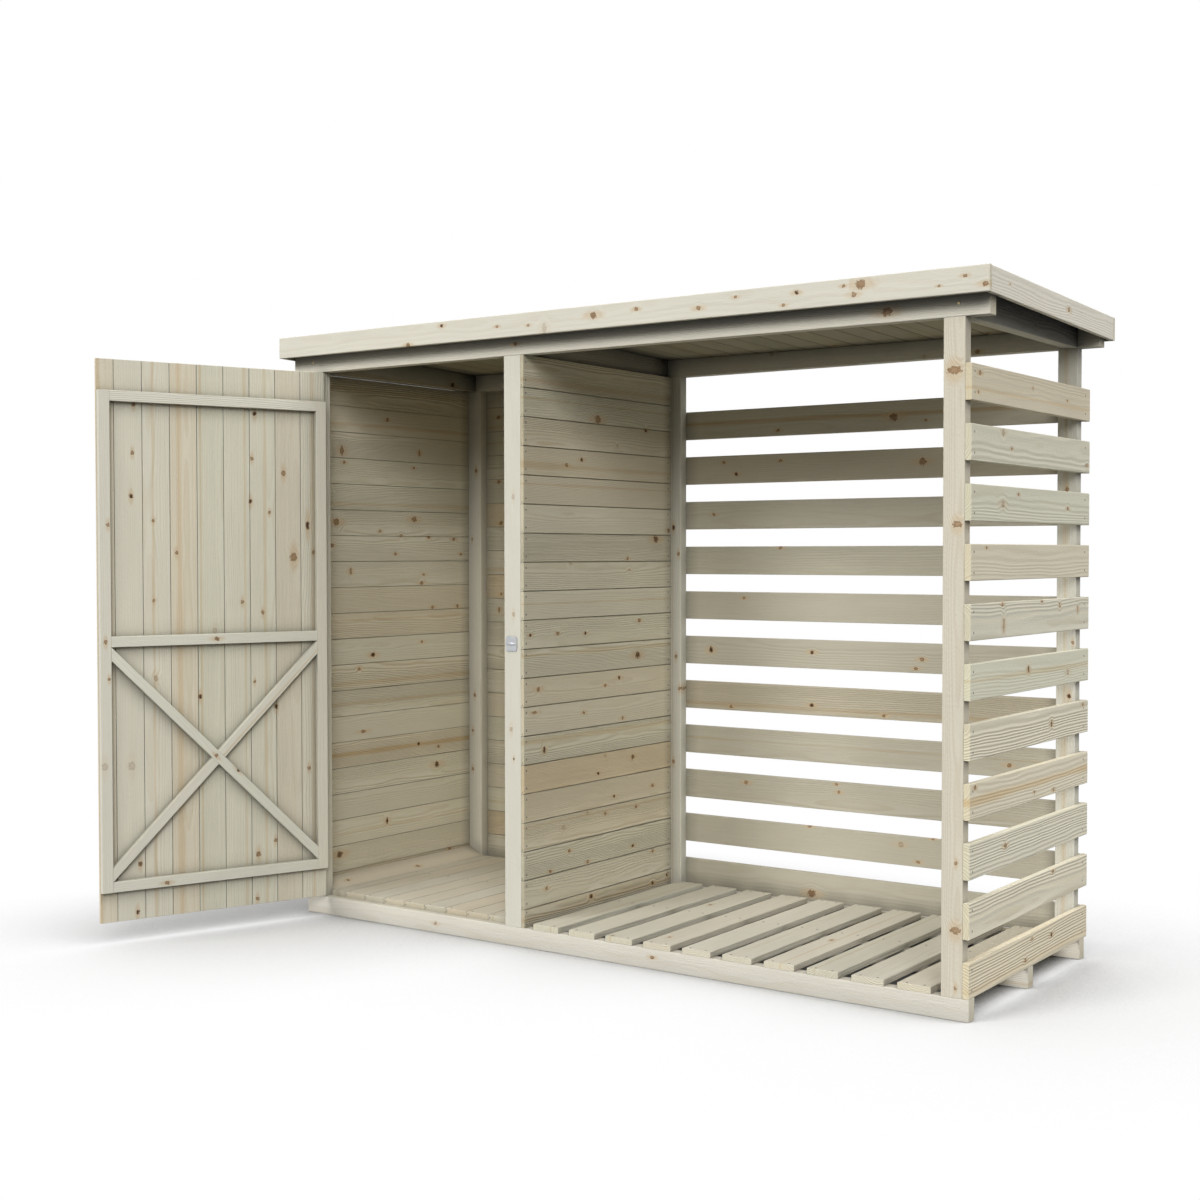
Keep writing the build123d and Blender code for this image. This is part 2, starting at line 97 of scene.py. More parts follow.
class TimberSettings(PropertyGroup):
    """Colours and grain of the untreated softwood."""
    framing: colour_property("Framing", "Posts and rails", (0.755, 0.738, 0.645))
    batten: colour_property("Battens", "Ledges, stiles and braces of the door", (0.840, 0.820, 0.710))
    bearer: colour_property("Bearers", "Timbers of the base", (0.820, 0.785, 0.690))
    slat: colour_property("Slats", "Fascias and floor boards", (0.790, 0.752, 0.645))
    # The back slats are given a darker colour than the side slats: painted shade at the back of the bay
    bay: colour_property("Bay slats", "Spaced slats at the back", (0.650, 0.610, 0.490))
    side: colour_property("Side slats", "Spaced slats on the side", (0.770, 0.735, 0.600))
    wall: colour_property("Walls", "Boards of the cupboard's walls", (0.705, 0.660, 0.525))
    door: colour_property("Door", "Boards of the door", (0.850, 0.808, 0.670))
    # The roof boards are given a far darker colour than the other boards: painted shade under the roof
    roof: colour_property("Roof", "Roof boards seen from below", (0.410, 0.385, 0.285))
    line: colour_property("Growth lines", "Tint of the growth lines", (0.800, 0.730, 0.610))
    warm: colour_property("Warm boards", "Tint of the pinker boards", (1.000, 0.900, 0.780))
    cool: colour_property("Cool boards", "Tint of the greener boards", (0.930, 0.975, 0.930))
    streak: colour_property("Streaks", "Tint of the resin streaks", (0.860, 0.720, 0.540))
    cut_end: colour_property("Cut ends", "Tint of sawn end grain", (1.000, 0.985, 0.920))
    halo: colour_property("Halo", "Stain round a knot", (0.660, 0.480, 0.270))
    rim: colour_property("Knot rim", "Resin-dark ring round a knot", (0.200, 0.100, 0.036))
    knot: colour_property("Knot", "Middle of a sound knot", (0.320, 0.172, 0.064))
    dead: colour_property("Dead knot", "Middle of a loose dark knot", (0.045, 0.018, 0.008))
    ring_spacing: length_property("Ring spacing", "Distance between growth lines in the log", 0.0042)
    # Painted shade: how near another face comes before the wood's colour is painted darker
    painted_shade_reach: length_property("Crevice", "How near another face darkens the wood", 0.055)
    wander: length_property("Wander", "How far the growth lines stray along a board", 0.012)
    relief: length_property("Relief", "Height of the raised grain", 0.0014)
    knots_per_metre: FloatProperty(name="Knots per metre", description="Knots along a board on unseen sides",
                                   default=1.5, min=0.0)
    streak_chance: FloatProperty(name="Streak chance", description="Share of boards with a resin streak",
                                 default=0.3, min=0.0, max=1.0)


class BoardSettings(PropertyGroup):
    """Sections of the timbers."""
    ease: length_property("Eased edge", "Radius of a planed timber's edges", 0.0020)
    end_ease: length_property("Eased end", "Wear round a timber's cut ends", 0.0006)
    vee: length_property("Vee", "Half width of the vee joint", 0.0020)
    vee_depth: length_property("Vee depth", "Depth of the vee joint", 0.0028)
    joint_gap: length_property("Joint gap", "Half of the open gap between two boards", 0.0008)
    slit: length_property("Slit", "Half width of the joint line on the plain face", 0.0010)
    slit_depth: length_property("Slit depth", "Depth of the joint line on the plain face", 0.0015)
    tongue: length_property("Tongue", "Length of a board's tongue", 0.0050)
    pitch: length_property("Cover width", "Board width seen between two joints", 0.0890)
    floor_pitch: length_property("Floor cover width", "Cupboard floor board seen width", 0.0882)
    wall_joint: length_property("Wall joint", "Height of the top joint in the side walls", 1.7183)
    back_joint: length_property("Back wall joint", "Height of the top joint in the back wall", 1.7558)
    floor_joint: length_property("Floor joint", "Place of the cupboard floor's first joint along X", -1.0418)
    floor_start: length_property("Floor start", "From the left post to the cupboard's first floor board",
                                 0.0680)
    fillet_rise: length_property("Fillet rise", "Rise of the board that leans on the left wall", 0.0305)
    cavity: length_property("Cavity", "Depth of a groove beyond the tongue in it", 0.0030)
    slat_width: length_property("Slat width", "Width of the spaced slats", 0.0950)
    slat_rows: IntProperty(name="Slat rows", description="Slats one above another", default=11, min=2)
    floor_slats: IntProperty(name="Floor slats", description="Spaced floor boards in the log bay",
                             default=10, min=2)


class DoorSettings(PropertyGroup):
    """Sizes of the ledged and braced door."""
    open_angle: FloatProperty(name="Open angle", description="Door angle in the rest pose",
                              default=math.radians(110), subtype="ANGLE")
    hinge_offset: length_property("Hinge offset", "From the hinge's axis to the door's edge", 0.0025)
    standoff: length_property("Hinge standoff", "From the hinge's axis to the door's outer face", 0.0062)
    width: length_property("Width", "Width of the door", 0.7615)
    bottom: length_property("Bottom", "Height of the door's lower edge", 0.0675)
    top: length_property("Top", "Height of the door's upper edge", 1.8115)
    boards: length_property("Board thickness", "Thickness of the door's boards", 0.0120)
    battens: length_property("Batten thickness", "Thickness of ledges, stiles and braces", 0.0180)
    first_joint: length_property("First joint", "From the hinge edge to the first joint", 0.0850)
    stile: length_property("Stile width", "Width of the two stiles", 0.0350)
    ledge: length_property("Ledge width", "Width of the three ledges", 0.0330)
    top_ledge: length_property("Top ledge", "Middle height of the top ledge", 1.6980)
    middle_ledge: length_property("Middle ledge", "Middle height of the middle ledge", 0.9395)
    bottom_ledge: length_property("Bottom ledge", "Middle height of the bottom ledge", 0.1790)
    brace_end: length_property("Brace end", "Upright length of a brace's cut end", 0.0420)


class StageSettings(PropertyGroup):
    """Floor, light and camera."""
    camera_place: FloatVectorProperty(name="Camera place", description="Where the camera stands",
                                      default=(2.8961, -4.4896, 1.2103), subtype="TRANSLATION")
    camera_turn: FloatProperty(name="Camera turn", description="Turn of the view to the left of +Y",
                               default=0.6157954, subtype="ANGLE")
    camera_tilt: FloatProperty(name="Camera tilt", description="Tilt of the view above level",
                               default=-0.0275197, subtype="ANGLE")
    camera_roll: FloatProperty(name="Camera roll", description="Roll of the view", default=-0.0009245,
                               subtype="ANGLE")
    lens: FloatProperty(name="Lens", description="Focal length on a 36 mm sensor, in millimetres",
                        default=50.428, min=1.0)
    dome: FloatProperty(name="Dome", description="Strength of the even light from all round", default=0.30)
    right_light: FloatProperty(name="Right light", description="Strength of the front right light",
                               default=1.42)
    left_light: FloatProperty(name="Left light", description="Strength of the front left light",
                              default=1.46)
    top_light: FloatProperty(name="Top light", description="Strength of the high light", default=1.20)
    floor_radius: length_property("Floor radius", "Radius of the round floor", 60.0)
    floor_colour: colour_property("Floor colour", "Pale floor", (0.80, 0.80, 0.80))
    floor_bounce: colour_property("Floor bounce", "Floor colour that lights the object", (0.10, 0.10, 0.10))


SETTINGS = {"timber": TimberSettings, "boards": BoardSettings, "door": DoorSettings, "stage": StageSettings}


def settings(name):
    """The panel's values of one group, such as timber."""
    return getattr(bpy.context.scene, "log_store_" + name)


# Outlines: closed rows of (across, normal) points, anticlockwise, in metres

def eased_rectangle(width, thick, ease, steps=2):
    """A rectangle whose corners are quarter circles: corner centre plus ease times (cos a, sin a)."""
    turn = np.linspace(0, math.pi / 2, steps + 1)
    arcs = []
    for i, (sx, sy) in enumerate(((1, 1), (-1, 1), (-1, -1), (1, -1))):
        a = turn + i * math.pi / 2
        centre = np.array([sx * (width / 2 - ease), sy * (thick / 2 - ease)])
        arcs.append(centre + ease * np.stack([np.cos(a), np.sin(a)], 1))
    return np.concatenate(arcs)


def matchboard(width, thick, first, last):
    """Section of a tongued and grooved board: vee edges on the low normal side, a narrow slit on the other.

    The groove is on the low across side and the tongue on the high one; an end board's outer edge is plain.
    """
    b = settings("boards")
    low, high, face, back = -width / 2, width / 2, -thick / 2, thick / 2
    mid_low, mid_high, play = face + 0.38 * thick, face + 0.66 * thick, TONGUE_PLAY
    if last:
        right = [(high, face), (high, back)]
    else:
        edge, tip = high - b.joint_gap, high + b.tongue
        right = [(high - b.vee, face), (edge, face + b.vee_depth), (edge, mid_low + play),
                 (tip, mid_low + play), (tip, mid_high - play), (edge, mid_high - play),
                 (edge, back - b.slit_depth), (high - b.slit, back - b.slit_depth), (high - b.slit, back)]
    if first:
        left = [(low, back), (low, face)]
    else:
        edge, root = low + b.joint_gap, low + b.tongue + b.cavity
        left = [(low + b.slit, back), (low + b.slit, back - b.slit_depth), (edge, back - b.slit_depth),
                (edge, mid_high), (root, mid_high), (root, mid_low), (edge, mid_low),
                (edge, face + b.vee_depth), (low + b.vee, face)]
    return np.array(right + left)


FACE_VECTORS = ("knot_a", "knot_b", "knot_age", "knot_shape", "tone", "streak")


class Timbers:
    """Collects boards and turns them into one mesh piece with the attributes that the grain reads."""

    def __init__(self, name):
        self.name = name
        self.random = np.random.default_rng(zlib.crc32(name.encode()))
        self.places, self.grain, self.faces = [], [], []
        self.face_values = {name: [] for name in (*FACE_VECTORS, "cut_end")}
        self.count = 0

    def add(self, start, end, across, outline, end_outline=None, mitre=(0.0, 0.0), knots=None, tone=None,
            streak=None):
        """Adds one board.

        A point on it is start plus t times the run, plus its outline point laid out along across and normal,
        where t goes from 0 to 1 and the outline changes evenly from the first to the last. A mitre moves an
        end's point along the run by its across distance times the mitre.
        """
        start, end, across = (np.asarray(v, float) for v in (start, end, across))
        length = np.linalg.norm(end - start)
        along = (end - start) / length
        normal = np.cross(along, across)
        ease = settings("boards").end_ease
        near, far = outline, outline if end_outline is None else end_outline
        axes = np.stack([along, across, normal])
        found = self.find_knots(start, axes, length, near, knots)
        cuts = self.cuts(found, length)
        t = np.concatenate([[0.0, ease], cuts, [length - ease, length]]) / length
        shape = near[None] * (1 - t)[:, None, None] + far[None] * t[:, None, None]
        inset = np.zeros(len(t))
        inset[[0, -1]] = ease
        shape = shape - np.sign(shape) * inset[:, None, None]
        run = t[:, None] * length + shape[..., 0] * ((1 - t) * mitre[0] + t * mitre[1])[:, None]
        local = np.stack([run, shape[..., 0], shape[..., 1]], 2).reshape(-1, 3)
        self.places.append(start + local @ axes)

        log = self.log_offset()
        self.grain.append(local + log)
        rings, n = len(t), len(outline)
        corner = np.arange(n)
        a = self.count + np.arange(rings - 1)[:, None] * n + corner
        b = self.count + np.arange(rings - 1)[:, None] * n + (corner + 1) % n
        quads = np.stack([a, b, b + n, a + n], 2).reshape(-1, 4)
        first_end, last_end = self.count + corner[::-1], self.count + (rings - 1) * n + corner
        self.faces += [*quads.tolist(), first_end.tolist(), last_end.tolist()]
        self.count += rings * n

        middle = (t[1:] + t[:-1]) / 2 * length
        near_knots = self.nearest(found, middle, log)
        ends = [near_knots[:1], near_knots[-1:]]
        knot_rows = np.concatenate([np.repeat(near_knots, n, 0), *ends])
        for i, name in enumerate(("knot_a", "knot_b", "knot_age", "knot_shape")):
            self.face_values[name].append(knot_rows[:, 3 * i:3 * i + 3])
        draw = self.random
        light, warmth, raised = draw.normal(0, 0.5), draw.normal(0, 0.4), draw.uniform(0.25, 1)
        chance, place, spread = draw.uniform(0, 1), draw.uniform(-0.03, 0.03), draw.uniform(0.003, 0.012)
        if tone is not None:
            light, warmth = tone
        if streak is None:
            streak = (place, spread, 0.5 if chance < settings("timber").streak_chance else 0.0)
        self.face_values["tone"].append(np.tile((light, warmth, raised), (len(knot_rows), 1)))
        self.face_values["streak"].append(np.tile(np.add(streak, (log[1], 0, 0)), (len(knot_rows), 1)))
        is_end = np.zeros(len(knot_rows))
        is_end[-2:] = 1
        self.face_values["cut_end"].append(is_end)

    def log_offset(self):
        """Where the board sits in its log: far along it, and a few centimetres beside the pith."""
        angle = math.radians(self.random.choice([-1, 1]) * self.random.uniform(15, 75) + 90)
        reach = self.random.uniform(0.035, 0.085)
        return np.array([self.random.uniform(0, 40), reach * math.cos(angle), reach * math.sin(angle)])

    def find_knots(self, start, axes, length, outline, knots):
        """Rows of (along, across, radius, age, squeeze): the given knots in this board, or random ones."""
        half = np.abs(outline).max(0)
        if knots is not None:
            reach = half + (KNOT_BESIDE, KNOT_ABOVE)
            rows = []
            for place, radius, age, squeeze in knots:
                local = axes @ (place - start)
                if 0 < local[0] < length and (np.abs(local[1:]) < reach).all():
                    rows.append((local[0], local[1], radius, age, squeeze))
            return np.array(sorted(rows)).reshape(-1, 5)
        count = self.random.poisson(settings("timber").knots_per_metre * length)
        rows = np.stack([self.random.uniform(0.03, 0.97, count) * length,
                         self.random.uniform(-0.8, 0.8, count) * half[0],
                         self.random.uniform(0.003, 0.0085, count) * min(1.0, half[0] / 0.03),
                         self.random.choice([0.1, 0.4, 0.5, 1.0], count), np.ones(count)], 1)
        return rows[np.argsort(rows[:, 0])]

    @staticmethod
    def cuts(knots, length):
        """Places along the board midway between neighbouring knots, where the nearest knot changes."""
        if len(knots) < 2:
            return np.array([length / 2])
        middle = (knots[1:, 0] + knots[:-1, 0]) / 2
        return np.unique(np.clip(middle, END_SPACE, length - END_SPACE).round(5))

    @staticmethod
    def nearest(knots, middle, log):
        """Each stretch of a board's two nearest knots: (along, across, radius), then ages and squeezes."""
        rows = np.zeros((len(middle), 12))
        rows[:, 9:] = 1.0
        for i in range(min(2, len(knots))):
            order = np.argsort(np.abs(knots[None, :, 0] - middle[:, None]), 1)[:, i]
            rows[:, 3 * i:3 * i + 3] = knots[order, :3] + np.array([log[0], log[1], 0.0])
            rows[:, 6 + i] = knots[order, 3]
            rows[:, 9 + i] = knots[order, 4]
        return rows

    def build(self, body, slot, material, *nodes):
        """Makes the mesh object, gives it its attributes and material, and lets it stand for its nodes."""
        mesh = bpy.data.meshes.new(self.name)
        mesh.from_pydata(np.concatenate(self.places).tolist(), [], self.faces)
        grain = mesh.attributes.new("grain", "FLOAT_VECTOR", "POINT")
        grain.data.foreach_set("vector", np.concatenate(self.grain).astype(np.float32).ravel())
        for name in FACE_VECTORS:
            attribute = mesh.attributes.new(name, "FLOAT_VECTOR", "FACE")
            values = np.concatenate(self.face_values[name]).astype(np.float32)
            attribute.data.foreach_set("vector", values.ravel())
        ends = mesh.attributes.new("cut_end", "FLOAT", "FACE")
        ends.data.foreach_set("value", np.concatenate(self.face_values["cut_end"]).astype(np.float32))
        mesh.validate()
        return place_piece(mesh, body, slot, material, *nodes)


def place_piece(mesh, body, slot, material, *nodes):
    """Links a finished mesh as a piece that rides on a body and stands for its CAD nodes."""
    piece = bpy.data.objects.new(mesh.name, mesh)
    bpy.context.scene.collection.objects.link(piece)
    mesh.materials.append(material)
    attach(piece, body)
    if nodes:
        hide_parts(*nodes)
    return piece


def box_of(node):
    """Lowest and highest corner of a CAD node as arrays."""
    low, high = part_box(node)
    return np.array(low), np.array(high)


def box_timber(timbers, low, high, run, **options):
    """A planed timber that fills a box, its run along one axis and its widest face across it."""
    middle, size = (low + high) / 2, high - low
    others = [i for i in range(3) if i != run]
    wide = max(others, key=lambda i: size[i])
    thin = min(others, key=lambda i: (size[i], i == wide))
    start, end = middle.copy(), middle.copy()
    start[run], end[run] = low[run], high[run]
    across = np.eye(3)[wide]
    outline = eased_rectangle(size[wide], size[thin], settings("boards").ease)
    timbers.add(start, end, across, outline, **options)


def joints_between(low, high, joint, pitch):
    """Board edges from low to high: the two ends and every joint a pitch apart from a known joint."""
    margin = 0.012
    first = joint - pitch * math.floor((joint - low - margin) / pitch)
    return [low, *np.arange(first, high - margin, pitch), high]


def board_panel(timbers, edges, origin, across, along, thick, length, knots=None, warm=None, streaks=None):
    """Boards side by side between the given edges; origin is on the vee face, the run goes along.

    warm and streaks give single boards, counted from the first edge, a warmth or a streak.
    """
    across, along = np.asarray(across, float), np.asarray(along, float)
    inward = np.cross(along, across)
    for i, (low, high) in enumerate(zip(edges[:-1], edges[1:])):
        outline = matchboard(high - low, thick, i == 0, i == len(edges) - 2)
        start = np.asarray(origin, float) + across * (low + high) / 2 + inward * thick / 2
        tone = (0.0, warm[i]) if warm and i in warm else None
        streak = streaks.get(i) if streaks else None
        timbers.add(start, start + along * length, across, outline, knots=knots, tone=tone, streak=streak)


# Shader node helpers

class Nodes:
    """Short calls for building a node tree: each returns the new node's output socket."""

    def __init__(self, tree):
        self.tree = tree

    def new(self, kind, inputs=None, **values):
        """A node of the kind with its properties set and its inputs linked or filled."""
        node = self.tree.nodes.new(kind)
        for key, value in values.items():
            setattr(node, key, value)
        for key, value in (inputs or {}).items():
            socket = node.inputs[key]
            if isinstance(value, bpy.types.NodeSocket):
                self.tree.links.new(value, socket)
            else:
                socket.default_value = value
        return node

    def math(self, operation, *values, clamp=False):
        """A Math node."""
        return self.new("ShaderNodeMath", dict(enumerate(values)), operation=operation,
                        use_clamp=clamp).outputs[0]

    def vector(self, operation, *values, output=0):
        """A Vector Math node."""
        return self.new("ShaderNodeVectorMath", dict(enumerate(values)), operation=operation).outputs[output]

    def noise(self, place, scale, detail=2.0, roughness=0.5):
        """Noise from 0 to 1 at a place, with its scale in patterns per metre."""
        return self.new("ShaderNodeTexNoise", {"Vector": place, "Scale": scale, "Detail": detail,
                                               "Roughness": roughness}).outputs["Fac"]

    def ramp(self, value, low, high, to_low=0.0, to_high=1.0):
        """A value mapped smoothly from one range to another, and held at its ends."""
        return self.new("ShaderNodeMapRange", {"Value": value, "From Min": low, "From Max": high,
                                               "To Min": to_low, "To Max": to_high},
                        interpolation_type="SMOOTHSTEP").outputs["Result"]

    def mix(self, factor, a, b, blend="MIX"):
        """Two colours mixed."""
        node = self.new("ShaderNodeMix", data_type="RGBA", blend_type=blend, clamp_factor=True)
        for socket, value in ((node.inputs[0], factor), (node.inputs[6], a), (node.inputs[7], b)):
            if isinstance(value, bpy.types.NodeSocket):
                self.tree.links.new(value, socket)
            elif isinstance(value, (int, float)):
                socket.default_value = value
            else:
                socket.default_value = (*value, 1.0) if len(value) == 3 else value
        return node.outputs[2]

    def parts(self, vector):
        """The three numbers of a vector."""
        return self.new("ShaderNodeSeparateXYZ", {0: vector}).outputs

    def join(self, x, y, z):
        """A vector from three numbers."""
        return self.new("ShaderNodeCombineXYZ", {0: x, 1: y, 2: z}).outputs[0]

    def stretched(self, grain, along, across):
        """A place in the log with its length and its two cross directions multiplied."""
        x, y, z = self.parts(grain)
        return self.join(self.math("MULTIPLY", x, along), self.math("MULTIPLY", y, across),
                         self.math("MULTIPLY", z, across))

    def attribute(self, name, output="Vector"):
        """A value that the mesh carries."""
        return self.new("ShaderNodeAttribute", attribute_name=name).outputs[output]

    def group(self, name, **inputs):
        """One of this file's node groups; returns its outputs."""
        node = self.new("ShaderNodeGroup", node_tree=bpy.data.node_groups[name])
        for key, value in inputs.items():
            socket = node.inputs[key.replace("_", " ").capitalize()]
            if isinstance(value, bpy.types.NodeSocket):
                self.tree.links.new(value, socket)
            else:
                socket.default_value = value
        return node.outputs


def node_group(name, inputs, outputs):
    """An empty shader node group with named sockets; returns its helper, its inputs and its output node."""
    tree = bpy.data.node_groups.new(name, "ShaderNodeTree")
    for direction, sockets in (("INPUT", inputs), ("OUTPUT", outputs)):
        for label, kind in sockets.items():
            tree.interface.new_socket(label, in_out=direction, socket_type="NodeSocket" + kind)
    entry = tree.nodes.new("NodeGroupInput")
    leave = tree.nodes.new("NodeGroupOutput")
    return Nodes(tree), entry.outputs, leave.inputs


def knot_group():
    """Masks of one knot, from the distance to its middle over its radius: an oval along the grain.

    Age goes from 0, a faint tan knot, over 0.5, a sound orange-brown one, to 1, a dead dark one.
    """
    n, given, out = node_group("Knot", {"Grain": "Vector", "Knot": "Vector", "Age": "Float",
                                        "Squeeze": "Float", "Ragged": "Float"},
                               {"Heart": "Float", "Rim": "Float", "Halo": "Float", "Push": "Float",
                                "Dark": "Float"})
    gx, gy, gz = n.parts(given["Grain"])
    kx, ky, radius = n.parts(given["Knot"])
    dx = n.math("MULTIPLY", n.math("MULTIPLY", n.math("SUBTRACT", gx, kx), 0.85), given["Squeeze"])
    dy = n.math("DIVIDE", n.math("SUBTRACT", gy, ky), given["Squeeze"])
    size = n.math("MAXIMUM", radius, 0.0001)
    away = n.math("DIVIDE", n.vector("LENGTH", n.join(dx, dy, 0.0), output=1), size)
    rough = n.math("ADD", away, n.math("MULTIPLY", n.math("SUBTRACT", given["Ragged"], 0.5), 1.7))
    real = n.math("GREATER_THAN", radius, 0.0005)
    bold = n.ramp(given["Age"], 0.0, 0.5, 0.25, 1.0)
    loose = n.ramp(given["Age"], 0.5, 1.0)

    def send(socket, *values):
        value = real
        for other in values:
            value = n.math("MULTIPLY", value, other)
        n.tree.links.new(value, out[socket])

    send("Heart", bold, n.ramp(rough, 1.05, 0.5))
    send("Rim", bold, n.ramp(rough, 1.2, 0.9), n.ramp(rough, 0.4, 0.8))
    tail = n.math("DIVIDE", n.vector("LENGTH", n.join(n.math("MULTIPLY", dx, 0.4), dy, 0.0), output=1), size)
    send("Halo", bold, n.ramp(tail, 2.1, 0.7))
    send("Push", size, n.ramp(away, 4.2, 0.3))
    send("Dark", loose, n.ramp(rough, 0.9, 0.5))


def growth_ring_group():
    """Growth lines: distance from the log's pith, bent by slow noise and by knots, cut into equal rings."""
    n, given, out = node_group("Growth rings", {"Grain": "Vector", "Push": "Float", "Spacing": "Float",
                                                "Wander": "Float"},
                               {"Latewood": "Float", "Relief": "Float"})
    gx, gy, gz = n.parts(given["Grain"])
    slow = n.stretched(given["Grain"], 1.6, 7.0)
    wavy = n.stretched(given["Grain"], 9.0, 26.0)
    reach = n.vector("LENGTH", n.join(0.0, gy, gz), output=1)
    bend = n.math("MULTIPLY", n.math("SUBTRACT", n.noise(slow, 1.0, 1.0), 0.5),
                  n.math("MULTIPLY", given["Wander"], 2.0))
    ripple = n.math("MULTIPLY", n.math("SUBTRACT", n.noise(wavy, 1.0, 0.0), 0.5),
                    n.math("MULTIPLY", given["Wander"], 0.32))
    radius = n.math("ADD", n.math("ADD", reach, bend),
                    n.math("ADD", ripple, n.math("MULTIPLY", given["Push"], 0.8)))
    uneven = n.noise(n.join(n.math("MULTIPLY", radius, 60.0), 0.0, 0.0), 1.0, 0.0)
    turns = n.math("ADD", n.math("DIVIDE", radius, given["Spacing"]), n.math("MULTIPLY", uneven, 1.3))
    year = n.math("FLOOR", turns)
    part = n.math("SUBTRACT", turns, year)
    late = n.math("MULTIPLY", n.ramp(part, 0.35, 0.86), n.ramp(part, 1.0, 0.93))
    season = n.new("ShaderNodeTexWhiteNoise", {"W": year}, noise_dimensions="1D").outputs["Value"]
    strength = n.math("ADD", 0.4, n.math("MULTIPLY", season, 0.6))
    n.tree.links.new(n.math("MULTIPLY", late, strength), out["Latewood"])
    n.tree.links.new(n.math("MULTIPLY", n.ramp(part, 0.0, 0.65), n.ramp(part, 1.0, 0.35)), out["Relief"])


def fibre_group():
    """Fine streaks along the grain, from noise drawn out over forty times along it, and even coarse noise."""
    n, given, out = node_group("Fibres", {"Grain": "Vector"}, {"Streaks": "Float", "Ragged": "Float"})
    streak = n.stretched(given["Grain"], 9.0, 420.0)
    n.tree.links.new(n.noise(streak, 1.0, 1.0, 0.6), out["Streaks"])
    n.tree.links.new(n.noise(given["Grain"], 170.0, 1.0), out["Ragged"])


def planing_group():
    """The soft pebbled surface of machine-planed wet softwood: rounded noise a few millimetres across."""
    n, given, out = node_group("Planing", {"Grain": "Vector"}, {"Pebble": "Float", "Patches": "Float"})
    small = n.stretched(given["Grain"], 110.0, 170.0)
    broad = n.stretched(given["Grain"], 3.5, 14.0)
    n.tree.links.new(n.noise(small, 1.0, 1.0, 0.45), out["Pebble"])
    n.tree.links.new(n.noise(broad, 1.0, 1.0), out["Patches"])


